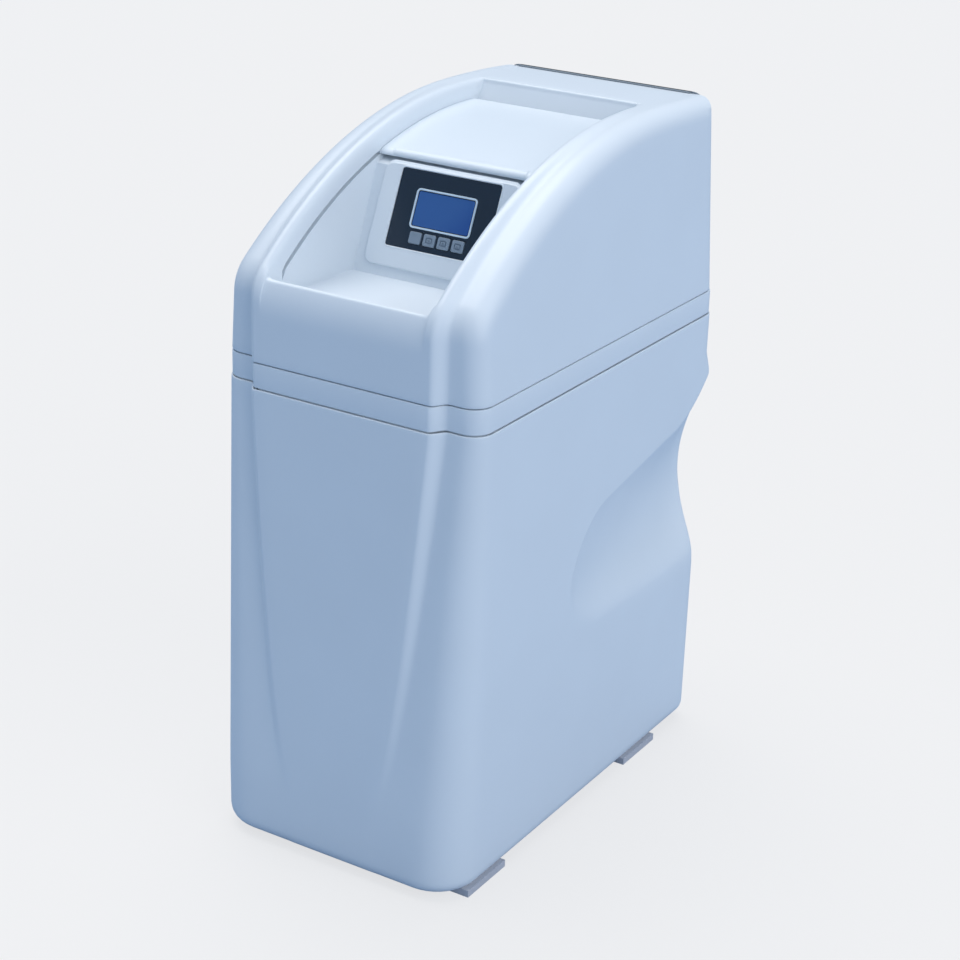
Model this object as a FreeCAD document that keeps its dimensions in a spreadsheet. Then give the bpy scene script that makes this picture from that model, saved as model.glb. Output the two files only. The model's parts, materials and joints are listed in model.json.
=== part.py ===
# Iron removal filter: a floor-standing cabinet with a pressure vessel, an automatic valve and a
# regenerant space. Millimetres. X to the right, Y to the back, Z up. The origin is on the floor,
# under the middle of the cabinet.
import FreeCAD, Part
import math
import os

import Sketcher
from FreeCAD import Placement, Rotation, Vector

os.makedirs("parts", exist_ok=True)
doc = FreeCAD.newDocument("iron_removal_filter")

# Driving dimensions, in millimetres and degrees
DRIVING = {
    # Plan of the cabinet at the seam
    "body_width": 270.0,
    "body_depth": 450.0,
    "pillar_setback": 13.0,
    "panel_half_width": 97.0,
    "step_run": 6.6,
    "corner_round": 20.0,
    # Casing
    "ground_gap": 5.0,
    "casing_top": 447.6,
    "casing_wall": 4.0,
    "front_lean": 12.5,
    "foot_corner": 45.0,
    "foot_round": 15.0,
    "panel_foot_half_width": 38.0,
    "panel_foot_height": 60.0,
    "scoop_depth": 28.0,
    "scoop_front_y": -42.0,
    "scoop_nose_length": 60.0,
    "scoop_nose_z": 243.0,
    "scoop_top_z": 313.0,
    "scoop_bottom_z": 192.0,
    # Feet
    "foot_width": 36.0,
    "foot_length": 64.0,
    "foot_set_in": 1.0,
    "foot_rise": 2.0,
    "front_foot_set_back": 51.0,
    "rear_foot_set_in": 106.0,
    # Collar
    "collar_height": 23.6,
    "collar_wall": 9.0,
    "collar_set_in": 1.0,
    "lip_height": 7.0,
    "lip_wall": 3.0,
    "lip_clearance": 0.3,
    # Hood
    "hood_wall": 3.5,
    "rail_wall": 7.0,
    "hood_height": 191.3,
    "crown_radius": 468.5,
    "crown_axis_from_back": 138.0,
    "shoulder_radius": 40.0,
    "side_draft": 3.0,
    "back_draft": 1.5,
    "rail_gap_half": 84.0,
    "shelf_drop": 137.5,
    "forehead_radius": 60.25,
    "forehead_start_drop": 148.5,
    "lip_drop": 118.5,
    "lip_set_back": 8.0,
    "lip_breadth": 4.0,
    "lip_back_run": 2.0,
    "deck_back_from_back": 95.0,
    # Display wall
    "wall_tilt": 66.3,
    "display_to_axis": 165.6,
    "display_drop": 112.0,
    # Lid
    "lid_sink": 16.5,
    "lid_thickness": 4.0,
    "lid_lift": 5.0,
    "lid_front_angle": 17.05,
    "lid_back_angle": -3.3,
    "lid_travel": 20.0,
    "lid_side_gap": 0.6,
    "lid_lip": 9.0,
    "tongue_reach": 3.4,
    "tongue_thickness": 2.6,
    "groove_clearance": 0.5,
    # Fill mouth
    "mouth_half_width": 68.0,
    "mouth_front_to_axis": 117.0,
    "mouth_back_to_axis": 49.0,
    "mouth_skirt": 2.5,
    "mouth_skirt_drop": 16.0,
    # Rear panel
    "rear_panel_thickness": 3.0,
    "rear_panel_half_width": 112.0,
    "rear_cap_depth": 6.0,
    "rear_cap_height": 1.6,
    "rear_panel_corner": 15.0,
    "rear_window_half_width": 98.0,
    "rear_window_drop": 22.5,
    "rear_notch_half_width": 88.0,
    "rear_notch_height": 88.8,
    "screw_radius": 2.0,
    "screw_head_radius": 3.6,
    "screw_head_height": 2.4,
    "rear_screw_x": 105.0,
    # Display
    "bezel_half_width": 71.0,
    "bezel_bottom": -19.0,
    "bezel_top": 74.0,
    "bezel_thickness": 3.0,
    "bezel_corner": 9.0,
    "fascia_width": 104.0,
    "fascia_height": 71.0,
    "fascia_thickness": 1.4,
    "fascia_sunk": 0.2,
    "window_width": 56.0,
    "window_height": 28.5,
    "window_bottom": 23.0,
    "window_thickness": 1.8,
    "frame_rim": 4.0,
    "frame_proud": 0.8,
    "key_width": 12.5,
    "key_height": 11.0,
    "key_pitch": 15.0,
    "key_middle": 10.8,
    "key_proud": 1.0,
    "key_clearance": 0.2,
    "key_flange": 1.0,
    "key_travel": 0.8,
    "boss_depth": 12.0,
    "boss_wall": 3.0,
    "boss_margin": 2.0,
    "board_thickness": 1.6,
    "switch_size": 6.0,
    # Pressure vessel
    "vessel_from_back": 127.0,
    "vessel_radius": 101.6,
    "vessel_drop": 15.6,
    "vessel_wall": 4.0,
    "dome_height": 52.0,
    "neck_radius": 38.0,
    "neck_bore": 31.0,
    "neck_height": 10.0,
    "boot_floor": 5.0,
    "boot_height": 66.0,
    "gravel_top": 84.0,
    "media_top": 330.0,
    "riser_radius": 13.35,
    "riser_bore": 10.5,
    "basket_radius": 28.0,
    "basket_height": 48.0,
    "basket_seat": 2.3,
    # Valve
    "valve_radius": 44.0,
    "valve_height": 80.0,
    "flange_radius": 50.0,
    "flange_height": 14.0,
    "spigot_depth": 22.0,
    "port_rise": 50.0,
    "port_half_pitch": 30.0,
    "port_radius": 15.0,
    "port_bore": 11.0,
    "port_reach": 62.0,
    "chamber_radius": 26.0,
    "chamber_floor": 34.0,
    "disc_seat": 64.0,
    "disc_radius": 30.0,
    "disc_thickness": 6.0,
    "disc_gap": 0.1,
    "stem_radius": 6.0,
    "running_gap": 0.05,
    "bonnet_thickness": 8.0,
    "bonnet_screw_circle": 39.0,
    "gear_lift": 4.0,
    "gear_thickness": 8.0,
    "gear_module": 1.25,
    "gear_teeth": 60.0,
    "pinion_teeth": 15.0,
    "gear_backlash": 0.5,
    "spindle_radius": 2.5,
    "cover_wall": 2.5,
    "cover_inner_height": 16.0,
    "cover_half_depth": 48.0,
    "motor_radius": 18.0,
    "motor_height": 28.0,
    "side_port_radius": 9.0,
    "side_port_bore": 4.0,
    "side_port_reach": 12.0,
    # Bypass and couplings
    "bypass_length": 42.0,
    "plug_radius": 12.5,
    "plug_bore": 9.5,
    "tower_radius": 16.0,
    "tower_height": 29.0,
    "cross_tube_radius": 12.0,
    "cross_tube_bore": 8.0,
    "knob_radius": 17.0,
    "knob_height": 12.0,
    "handle_width": 8.0,
    "handle_height": 8.0,
    "seal_thickness": 1.2,
    "thread_radius": 17.0,
    "coupling_radius": 13.2,
    "coupling_shoulder": 0.4,
    "coupling_bore": 9.5,
    "coupling_flange": 4.0,
    "nut_flats": 40.0,
    "nut_overlap": 7.0,
    "nut_collar": 4.0,
    # Flow meter
    "turbine_radius": 9.8,
    "turbine_length": 8.0,
    "turbine_spindle": 1.0,
    "turbine_from_vessel": 44.0,
    "blade_thickness": 1.0,
    "cage_thickness": 2.0,
    # Drain and overflow
    "spigot_radius": 6.35,
    "spigot_bore": 4.0,
    "spigot_length": 40.0,
    "spigot_shoulder": 0.85,
    "spigot_shoulder_length": 10.0,
    "elbow_radius": 8.5,
    "overflow_from_side": 61.0,
    "overflow_drop": 39.6,
    "pocket_half": 24.0,
    "pocket_depth": 17.0,
    "overflow_radius": 9.0,
    "overflow_flange": 3.0,
    "overflow_thread": 16.0,
    # Brine system
    "well_side_gap": 19.0,
    "well_front_gap": 43.0,
    "well_radius": 40.0,
    "well_wall": 2.0,
    "well_drop": 7.6,
    "cap_thickness": 4.0,
    "cap_skirt": 10.0,
    "pick_up_radius": 6.0,
    "pick_up_foot_radius": 14.0,
    "pick_up_foot_height": 28.0,
    "float_radius": 28.0,
    "float_height": 38.0,
    "float_rest": 190.0,
    "float_travel": 60.0,
    "stop_radius": 9.0,
    "stop_height": 4.0,
    "hose_radius": 3.2,
    "grid_height": 58.0,
    "grid_thickness": 4.0,
    "grid_clearance": 3.0,
    "grid_pitch": 16.0,
    "grid_hole_radius": 3.0,
    "grid_leg_radius": 8.0,
    # Power inlet
    "jack_radius": 5.5,
    "jack_bore": 2.75,
    "jack_length": 9.5,
}

sheet = doc.addObject("Spreadsheet::Sheet", "sizes")
for row, (alias, number) in enumerate(DRIVING.items(), start=1):
    sheet.set(f"A{row}", alias)
    sheet.set(f"B{row}", repr(number))
    sheet.setAlias(f"B{row}", alias)
doc.recompute()


def text_of(value):
    return value.text if isinstance(value, Size) else repr(float(value))


class Size(float):
    """A number that keeps the sheet formula it comes from, so that a property can be bound to it."""

    def __new__(cls, number, text):
        size = float.__new__(cls, number)
        size.text = text
        return size

    def __add__(self, other):
        return Size(float(self) + float(other), f"({self.text} + {text_of(other)})")

    def __radd__(self, other):
        return Size(float(other) + float(self), f"({text_of(other)} + {self.text})")

    def __sub__(self, other):
        return Size(float(self) - float(other), f"({self.text} - {text_of(other)})")

    def __rsub__(self, other):
        return Size(float(other) - float(self), f"({text_of(other)} - {self.text})")

    def __mul__(self, other):
        return Size(float(self) * float(other), f"({self.text} * {text_of(other)})")

    __rmul__ = __mul__

    def __truediv__(self, other):
        return Size(float(self) / float(other), f"({self.text} / {text_of(other)})")

    def __neg__(self):
        return Size(-float(self), f"(-{self.text})")


def cosine(angle):
    return Size(math.cos(math.radians(angle)), f"cos({text_of(angle)} * 1 deg)")


def sine(angle):
    return Size(math.sin(math.radians(angle)), f"sin({text_of(angle)} * 1 deg)")


class Sizes:
    """The sheet's sizes by name."""

    def __getattr__(self, alias):
        return Size(float(sheet.get(alias)), f"sizes.{alias}")


at = Sizes()
kept = {}


def keep(piece, label):
    """Give a sub-part its own label, which is also its file's name."""
    piece.Label = label
    kept[label] = piece
    return piece


def bind(piece, name, value):
    """Set a property, and tie it to the sheet where the value comes from there."""
    if isinstance(value, Size):
        piece.setExpression(name, value.text)
    else:
        holder, _, leaf = name.rpartition(".")
        if holder:
            piece.setExpression(name, repr(float(value)))
        else:
            setattr(piece, leaf, value)


def place(piece, x=0, y=0, z=0, axis=Vector(0, 0, 1), turn=0.0):
    """Turn a piece about an axis through its own origin, then set it down at a point."""
    piece.Placement = Placement(Vector(0, 0, 0), Rotation(axis, turn))
    for name, value in zip("xyz", (x, y, z)):
        if isinstance(value, Size) or value:
            piece.setExpression(f"Placement.Base.{name}", text_of(value))
    return piece


ALONG_X = {"axis": Vector(0, 1, 0), "turn": 90.0}
ALONG_Y = {"axis": Vector(1, 0, 0), "turn": -90.0}
AGAINST_Y = {"axis": Vector(1, 0, 0), "turn": 90.0}


def cylinder(name, radius, height, x=0, y=0, z=0, **way):
    rod = doc.addObject("Part::Cylinder", name)
    bind(rod, "Radius", radius)
    bind(rod, "Height", height)
    return place(rod, x, y, z, **way)


def box(name, length, width, height, x=0, y=0, z=0, **way):
    block = doc.addObject("Part::Box", name)
    bind(block, "Length", length)
    bind(block, "Width", width)
    bind(block, "Height", height)
    return place(block, x, y, z, **way)


def fuse(name, *pieces):
    joined = doc.addObject("Part::MultiFuse", name)
    joined.Shapes = list(pieces)
    joined.Refine = True
    return joined


def cut(name, base, *tools):
    """Take one or more pieces away from another."""
    result = doc.addObject("Part::Cut", name)
    result.Base = base
    result.Tool = tools[0] if len(tools) == 1 else fuse(f"{name}_tools", *tools)
    return result


def common(name, first, second):
    shared = doc.addObject("Part::Common", name)
    shared.Base = first
    shared.Tool = second
    return shared


def tube(name, radius, bore, length, x=0, y=0, z=0, **way):
    outer = cylinder(f"{name}_outside", radius, length, x, y, z, **way)
    inner = cylinder(f"{name}_bore", bore, length, x, y, z, **way)
    return cut(name, outer, inner)


def shaped(name, shape):
    """A piece whose shape is worked out here from the sheet's sizes."""
    piece = doc.addObject("Part::Feature", name)
    piece.Shape = shape
    return piece


def new_sketch(body, plane, lift=0):
    sketch = body.newObject("Sketcher::SketchObject", f"{body.Name}_sketch")
    support = next(item for item in body.Origin.OriginFeatures if item.Role == plane)
    sketch.AttachmentSupport = (support, [""])
    sketch.MapMode = "FlatFace"
    if isinstance(lift, Size) or lift:
        sketch.setExpression("AttachmentOffset.Base.z", text_of(lift))
    return sketch


def tie(sketch, kind, *where):
    """Add a dimension to a sketch and bind it to the sheet."""
    number = sketch.addConstraint(Sketcher.Constraint(kind, *where[:-1], float(where[-1])))
    sketch.setExpression(f"Constraints[{number}]", text_of(where[-1]))


def draw(sketch, corners):
    """Closed outline of straight lines through corners, each tied to the sketch's origin."""
    first = sketch.GeometryCount
    count = len(corners)
    points = [Vector(float(x), float(y), 0) for x, y in corners]
    for index in range(count):
        line = Part.LineSegment(points[index], points[(index + 1) % count])
        sketch.addGeometry(line, False)
    for index in range(count):
        following = first + (index + 1) % count
        sketch.addConstraint(Sketcher.Constraint("Coincident", first + index, 2, following, 1))
    for index, (x, y) in enumerate(corners):
        tie(sketch, "DistanceX", -1, 1, first + index, 1, x)
        tie(sketch, "DistanceY", -1, 1, first + index, 1, y)


def ring(sketch, radius, x=0, y=0):
    """A circle tied to the sketch's origin."""
    sketch.addGeometry(Part.Circle(Vector(float(x), float(y), 0), Vector(0, 0, 1), float(radius)), False)
    number = sketch.GeometryCount - 1
    tie(sketch, "Radius", number, radius)
    tie(sketch, "DistanceX", -1, 1, number, 3, x)
    tie(sketch, "DistanceY", -1, 1, number, 3, y)


def turned(name, corners, x=0, y=0, z=0, **way):
    """A body turned about its own Z axis from corners given as radius and height."""
    body = doc.addObject("PartDesign::Body", name)
    sketch = new_sketch(body, "XZ_Plane")
    draw(sketch, corners)
    turn = body.newObject("PartDesign::Revolution", f"{name}_turn")
    turn.Profile = sketch
    turn.ReferenceAxis = (sketch, ["V_Axis"])
    turn.Angle = 360
    return place(body, x, y, z, **way)


def padded(name, corners, thickness, plane="XY_Plane", lift=0, holes=()):
    """A body padded from a sketch, with round holes given as radius, x and y."""
    body = doc.addObject("PartDesign::Body", name)
    sketch = new_sketch(body, plane, lift)
    draw(sketch, corners)
    for radius, x, y in holes:
        ring(sketch, radius, x, y)
    pad = body.newObject("PartDesign::Pad", f"{name}_pad")
    pad.Profile = sketch
    bind(pad, "Length", thickness)
    return body


def rounded(body, name, radius, wanted):
    """Round those edges of a body's last feature that a test picks."""
    doc.recompute()
    base = body.Tip
    edges = [f"Edge{n}" for n, edge in enumerate(base.Shape.Edges, start=1) if wanted(edge)]
    fillet = body.newObject("PartDesign::Fillet", name)
    fillet.Base = (base, edges)
    bind(fillet, "Radius", radius)
    return body


def upright(edge):
    """An edge that runs straight along the body's own Z."""
    if len(edge.Vertexes) < 2:
        return False
    run = edge.Vertexes[1].Point - edge.Vertexes[0].Point
    return abs(run.z) > 1e-6 and abs(run.x) < 1e-6 and abs(run.y) < 1e-6


# Places that several pieces share
floor_top = at.ground_gap + at.casing_wall
half_width = at.body_width / 2
half_depth = at.body_depth / 2
collar_top = at.casing_top + at.collar_height
crown_height = collar_top + at.hood_height
shelf_height = crown_height - at.shelf_drop
forehead_start = crown_height - at.forehead_start_drop
lip_crest = crown_height - at.lip_drop
display_z = crown_height - at.display_drop
hood_half_width = half_width - at.collar_set_in
hood_front = -half_depth + at.collar_set_in
pillar_front = hood_front + at.pillar_setback
crown_axis_y = half_depth - at.crown_axis_from_back
display_y = crown_axis_y - at.display_to_axis
crown_axis_z = crown_height - at.crown_radius
deck_back_y = half_depth - at.deck_back_from_back
mouth_front_y = crown_axis_y - at.mouth_front_to_axis
mouth_back_y = crown_axis_y - at.mouth_back_to_axis
vessel_y = half_depth - at.vessel_from_back
well_x = half_width - at.casing_wall - at.well_side_gap - at.well_radius
well_y = -half_depth + at.well_front_gap + at.well_radius
well_top = at.casing_top - at.well_drop
overflow_x = -half_width + at.overflow_from_side
overflow_z = at.casing_top - at.overflow_drop
lid_under = at.crown_radius - at.lid_sink - at.lid_thickness
deck_radius = lid_under - at.lid_lift
vessel_height = at.casing_top - at.vessel_drop
neck_top = floor_top + at.boot_floor + vessel_height + at.neck_height
port_z = neck_top + at.port_rise
valve_top = neck_top + at.valve_height
bonnet_top = valve_top + at.bonnet_thickness
foremost = half_depth + at.front_lean * (1 - (at.ground_gap + at.foot_round) / at.casing_top)


def plan(z, inset=0.0, drop_panel=False, back_trim=0.0):
    """Closed outline of the cabinet at a height: panel, steps, pillars, rounded corners, straight sides."""
    rise = min(z, float(at.casing_top)) / at.casing_top
    panel_rise = at.casing_top - at.panel_foot_height
    fade = max(0.02, (min(z, float(at.casing_top)) - at.panel_foot_height) / panel_rise)
    relief = at.pillar_setback * fade
    panel_growth = (at.panel_half_width - at.panel_foot_half_width) * math.sqrt(fade)
    panel_half = at.panel_foot_half_width + panel_growth - inset * fade
    front = -(half_depth + at.front_lean * (1 - rise)) + inset
    pillar = front + relief
    side = half_width - inset
    back = half_depth - inset - back_trim
    front_round = max(2.0, at.corner_round + (at.foot_corner - at.corner_round) * (1 - rise) - inset)
    back_round = max(2.0, at.corner_round - inset)
    run = float(at.step_run)
    bend = (run ** 2 + (relief / 2) ** 2) / relief
    swing = math.asin(min(1.0, run / bend)) / 2
    across = bend * math.sin(swing)
    down = bend * (1 - math.cos(swing))
    notch = math.sqrt(0.5)

    def arc(start, middle, end):
        return Part.Arc(Vector(*start, z), Vector(*middle, z), Vector(*end, z)).toShape()

    def line(start, end):
        return Part.makeLine(Vector(*start, z), Vector(*end, z))

    def mirrored(point):
        return (-point[0], point[1])

    panel_edge = (panel_half - run, front)
    panel_bend = (panel_half - run + across, front + down)
    step_middle = (panel_half, front + relief / 2)
    pillar_bend = (panel_half + run - across, pillar - down)
    pillar_edge = (panel_half + run, pillar)
    corner_start = (side - front_round, pillar)
    corner_middle = (side - front_round * (1 - notch), pillar + front_round * (1 - notch))
    corner_end = (side, pillar + front_round)
    back_start = (side, back - back_round)
    back_middle = (side - back_round * (1 - notch), back - back_round * (1 - notch))
    back_end = (side - back_round, back)
    right = [
        arc(corner_start, corner_middle, corner_end),
        line(corner_end, back_start),
        arc(back_start, back_middle, back_end),
    ]
    left = [
        arc(mirrored(back_end), mirrored(back_middle), mirrored(back_start)),
        line(mirrored(back_start), mirrored(corner_end)),
        arc(mirrored(corner_end), mirrored(corner_middle), mirrored(corner_start)),
    ]
    across_back = [line(back_end, mirrored(back_end))]
    if drop_panel:
        return Part.Wire([line(mirrored(corner_start), corner_start)] + right + across_back + left)
    front_right = [
        line(mirrored(panel_edge), panel_edge),
        arc(panel_edge, panel_bend, step_middle),
        arc(step_middle, pillar_bend, pillar_edge),
        line(pillar_edge, corner_start),
    ]
    front_left = [
        line(mirrored(corner_start), mirrored(pillar_edge)),
        arc(mirrored(pillar_edge), mirrored(pillar_bend), mirrored(step_middle)),
        arc(mirrored(step_middle), mirrored(panel_bend), mirrored(panel_edge)),
    ]
    return Part.Wire(front_right + right + across_back + left + front_left)


def slab(wire, height):
    return Part.Face(wire).extrude(Vector(0, 0, height))


def casing_form(inset, bottom, top):
    """The cabinet's form between two heights, with its rounded foot."""
    low = float(bottom)
    foot = float(at.foot_round)
    sections = []
    for angle in (0, 25, 50, 75, 90):
        lean = math.radians(angle)
        z = low + foot * (1 - math.cos(lean))
        sections.append(plan(z, inset + foot * (1 - math.sin(lean))))
    for share in (0.0, 0.04, 0.1, 0.2, 0.36, 0.55, 0.78, 1.0):
        height = at.panel_foot_height + share * (at.casing_top - at.panel_foot_height)
        sections.append(plan(float(height), inset))
    solid = Part.makeLoft(sections, True, True)
    if top > at.casing_top:
        solid = solid.fuse(slab(plan(float(at.casing_top), inset), float(top - at.casing_top)))
    return solid


def scoop_form(side, grow):
    """The hollow in one rear side. Its crisp upper edge climbs towards the back, its nose is a quarter of an
    ellipse, and its section at each Y is a half wave that eases out at the foot."""
    sections = []
    reach = half_depth - at.scoop_front_y
    for share in (0.001, 0.015, 0.05, 0.12, 0.24, 0.42, 0.62, 0.82, 1.05):
        y = float(at.scoop_front_y + share * reach) - grow * (1 - share)
        nose = min(1.0, share * reach / at.scoop_nose_length)
        swell = math.sqrt(1 - (1 - nose) ** 2)
        climb = 0.19 * (y - at.scoop_front_y) + 0.006 * max(0.0, y - 0.67 * half_depth) ** 2 - 8.0
        top = at.scoop_nose_z + (at.scoop_top_z + climb - at.scoop_nose_z) * swell + grow
        bottom = at.scoop_nose_z - (at.scoop_nose_z - at.scoop_bottom_z + 0.05 * y) * swell - grow
        depth = at.scoop_depth * math.sin(math.pi / 2 * min(1.0, share) ** 0.8) + grow + 0.2
        points = []
        for step in range(11):
            fall = step / 10
            ease = 1.0 + max(0.0, fall - 0.5) * 1.6
            wave = math.sin(math.pi * fall) ** ease if 0 < step < 10 else 0.0
            points.append(Vector(side * (half_width - depth * wave), y, top + (bottom - top) * fall))
        curve = Part.BSplineCurve()
        curve.interpolate(points)
        outside = Vector(side * 20.0, 0, 0)
        sections.append(Part.Wire([
            curve.toShape(),
            Part.makeLine(points[-1], points[-1] + outside),
            Part.makeLine(points[-1] + outside, points[0] + outside),
            Part.makeLine(points[0] + outside, points[0]),
        ]))
    return Part.makeLoft(sections, True, True)


def side_profile(front, axis_y, inset, x, foot):
    """Side outline of the hood at one X: upright front, shoulder, long arc, level crown, drafted back."""
    shoulder = at.shoulder_radius - inset
    crown = at.crown_radius - inset
    span = at.crown_radius - at.shoulder_radius
    centre_y = front + at.shoulder_radius
    centre_z = crown_axis_z + math.sqrt(span ** 2 - (axis_y - centre_y) ** 2)
    lean = math.atan2(axis_y - centre_y, centre_z - crown_axis_z)
    back_foot = half_depth - at.rear_panel_thickness - inset
    slope = math.tan(math.radians(at.back_draft))
    top = crown_height - inset

    def point(y, z):
        return Vector(x, y, z)

    def on_circle(y, z, radius, angle):
        return point(y - radius * math.sin(angle), z + radius * math.cos(angle))

    front_foot = point(front + inset, foot)
    front_top = point(front + inset, centre_z)
    shoulder_middle = on_circle(centre_y, centre_z, shoulder, (lean + math.pi / 2) / 2)
    shoulder_end = on_circle(axis_y, crown_axis_z, crown, lean)
    arc_middle = on_circle(axis_y, crown_axis_z, crown, lean / 2)
    arc_end = point(axis_y, top)
    back_top = point(back_foot - (top - collar_top) * slope, top)
    back_end = point(back_foot + (collar_top - foot) * slope, foot)
    return Part.Wire([
        Part.makeLine(front_foot, front_top),
        Part.Arc(front_top, shoulder_middle, shoulder_end).toShape(),
        Part.Arc(shoulder_end, arc_middle, arc_end).toShape(),
        Part.makeLine(arc_end, back_top),
        Part.makeLine(back_top, back_end),
        Part.makeLine(back_end, front_foot),
    ])


def hood_form(inset, foot):
    """The hood's full form: an outer band with rounded long edges and a raised band between the creases."""
    wide = float(hood_half_width - inset)
    slope = math.tan(math.radians(at.side_draft))
    profile = Part.Face(side_profile(pillar_front, crown_axis_y + at.pillar_setback, inset, -wide - 5, foot))
    block = profile.extrude(Vector(2 * wide + 10, 0, 0))

    def level(z):
        x = wide - (z - collar_top) * slope
        y = 2 * float(at.body_depth)
        corners = [Vector(-x, -y, z), Vector(x, -y, z), Vector(x, y, z), Vector(-x, y, z)]
        return Part.makePolygon(corners + corners[:1])

    drafted = Part.makeLoft([level(float(foot)), level(float(crown_height + 5))], True, True)
    band = block.common(drafted)
    long_edges = []
    for edge in band.Edges:
        middle = edge.valueAt((edge.FirstParameter + edge.LastParameter) / 2)
        sideways = abs(edge.tangentAt((edge.FirstParameter + edge.LastParameter) / 2).x)
        if abs(middle.x) > wide / 2 and middle.z > foot + 1 and sideways < 0.5:
            long_edges.append(edge)
    band = band.makeFillet(float(at.corner_round - at.collar_set_in - inset), long_edges)
    half = at.panel_half_width - inset
    wires = []
    for x, front, axis_y in (
        (-half - at.step_run, pillar_front, crown_axis_y + at.pillar_setback),
        (-half + at.step_run, hood_front, crown_axis_y),
        (half - at.step_run, hood_front, crown_axis_y),
        (half + at.step_run, pillar_front, crown_axis_y + at.pillar_setback),
    ):
        wires.append(side_profile(front, axis_y, inset, float(x), foot))
    return band.fuse(Part.makeLoft(wires, True, True))


def recess_form(grow, half, high):
    """What is open between the rails: front lip, shelf, tilted display wall and the deck under the lid."""
    tilt = math.radians(at.wall_tilt)
    wall_y = display_y + grow * math.sin(tilt)
    wall_z = display_z - grow * math.cos(tilt)
    shelf = shelf_height - grow
    wall_foot_y = wall_y - (wall_z - shelf) / math.tan(tilt)
    radius = deck_radius - grow
    along = (math.cos(tilt), math.sin(tilt))
    to_axis = (wall_y - crown_axis_y, wall_z - crown_axis_z)
    inner = to_axis[0] * along[0] + to_axis[1] * along[1]
    climb = -inner + math.sqrt(inner ** 2 - (to_axis[0] ** 2 + to_axis[1] ** 2 - radius ** 2))
    wall_top = (wall_y + climb * along[0], wall_z + climb * along[1])
    back = deck_back_y + grow
    back_z = crown_axis_z + math.sqrt(radius ** 2 - (back - crown_axis_y) ** 2)
    far = hood_front - 40.0

    def point(y, z):
        return Vector(-float(half), y, z)

    if grow:
        foremost_point = point(far, shelf)
        edges = [Part.makeLine(foremost_point, point(wall_foot_y, shelf))]
    else:
        foremost_point = point(far, forehead_start)
        crest_y = hood_front + at.lip_set_back
        crest_back_y = crest_y + at.lip_breadth
        middle_z = (forehead_start + lip_crest) / 2
        middle_y = hood_front + at.forehead_radius - math.sqrt(
            at.forehead_radius ** 2 - (middle_z - forehead_start) ** 2
        )
        edges = [
            Part.makeLine(foremost_point, point(hood_front, forehead_start)),
            Part.Arc(
                point(hood_front, forehead_start),
                point(middle_y, middle_z),
                point(crest_y, lip_crest),
            ).toShape(),
            Part.makeLine(point(crest_y, lip_crest), point(crest_back_y, lip_crest)),
            Part.makeLine(point(crest_back_y, lip_crest), point(crest_back_y + at.lip_back_run, shelf)),
            Part.makeLine(point(crest_back_y + at.lip_back_run, shelf), point(wall_foot_y, shelf)),
        ]
    edges += [
        Part.makeLine(point(wall_foot_y, shelf), point(*wall_top)),
        Part.Arc(
            point(*wall_top),
            point(crown_axis_y, crown_axis_z + radius),
            point(back, back_z),
        ).toShape(),
        Part.makeLine(point(back, back_z), point(back, high)),
        Part.makeLine(point(back, high), point(far, high)),
        Part.makeLine(point(far, high), foremost_point),
    ]
    return Part.Face(Part.Wire(edges)).extrude(Vector(2 * float(half), 0, 0))


def band_sector(inner, outer, front_angle, back_angle, half):
    """A strip of a cylinder about the crown's axis, between two radii and two angles from upright."""

    def point(radius, angle):
        lean = math.radians(angle)
        y = crown_axis_y - radius * math.sin(lean)
        z = crown_axis_z + radius * math.cos(lean)
        return Vector(-float(half), y, z)

    middle = (front_angle + back_angle) / 2
    edges = [
        Part.Arc(point(inner, front_angle), point(inner, middle), point(inner, back_angle)).toShape(),
        Part.makeLine(point(inner, back_angle), point(outer, back_angle)),
        Part.Arc(point(outer, back_angle), point(outer, middle), point(outer, front_angle)).toShape(),
        Part.makeLine(point(outer, front_angle), point(inner, front_angle)),
    ]
    return Part.Face(Part.Wire(edges)).extrude(Vector(2 * float(half), 0, 0))


def on_wall(piece, x=0, up=0, out=0):
    """Set a piece on the display wall: X across, then up the slope, then out of the wall."""
    rise, run = sine(at.wall_tilt), cosine(at.wall_tilt)
    y = display_y + up * run - out * rise
    z = display_z + up * rise + out * run
    return place(piece, x, y, z, Vector(1, 0, 0), float(at.wall_tilt))


def wall_box(name, x, up, out, width, height, depth):
    return on_wall(box(name, width, height, depth), x, up, out)


# Tank casing
casing_outside = casing_form(0.0, at.ground_gap, at.casing_top)
casing_inside = casing_form(float(at.casing_wall), floor_top, at.casing_top + 1)
pocket_floor = half_depth - at.pocket_depth
pocket_reach = float(at.pocket_depth + 10)
pocket = Part.makeCylinder(
    float(at.pocket_half), pocket_reach, Vector(overflow_x, pocket_floor, overflow_z), Vector(0, 1, 0),
)
pocket_shell = Part.makeCylinder(
    float(at.pocket_half + at.casing_wall), pocket_reach,
    Vector(overflow_x, pocket_floor - at.casing_wall, overflow_z), Vector(0, 1, 0),
)
casing_space = casing_inside
casing_solid = casing_outside
for side in (-1, 1):
    casing_space = casing_space.cut(scoop_form(side, float(at.casing_wall)))
    casing_solid = casing_solid.cut(scoop_form(side, 0.0))
casing_space = casing_space.cut(pocket_shell)
overflow_hole = Part.makeCylinder(
    float(at.overflow_radius + at.lip_clearance),
    float(at.casing_wall + 2),
    Vector(overflow_x, pocket_floor - at.casing_wall - 1, overflow_z),
    Vector(0, 1, 0),
)
casing_shape = casing_solid.cut(casing_space).cut(pocket).cut(overflow_hole)
keep(shaped("casing", casing_shape), "tank_casing")

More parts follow.
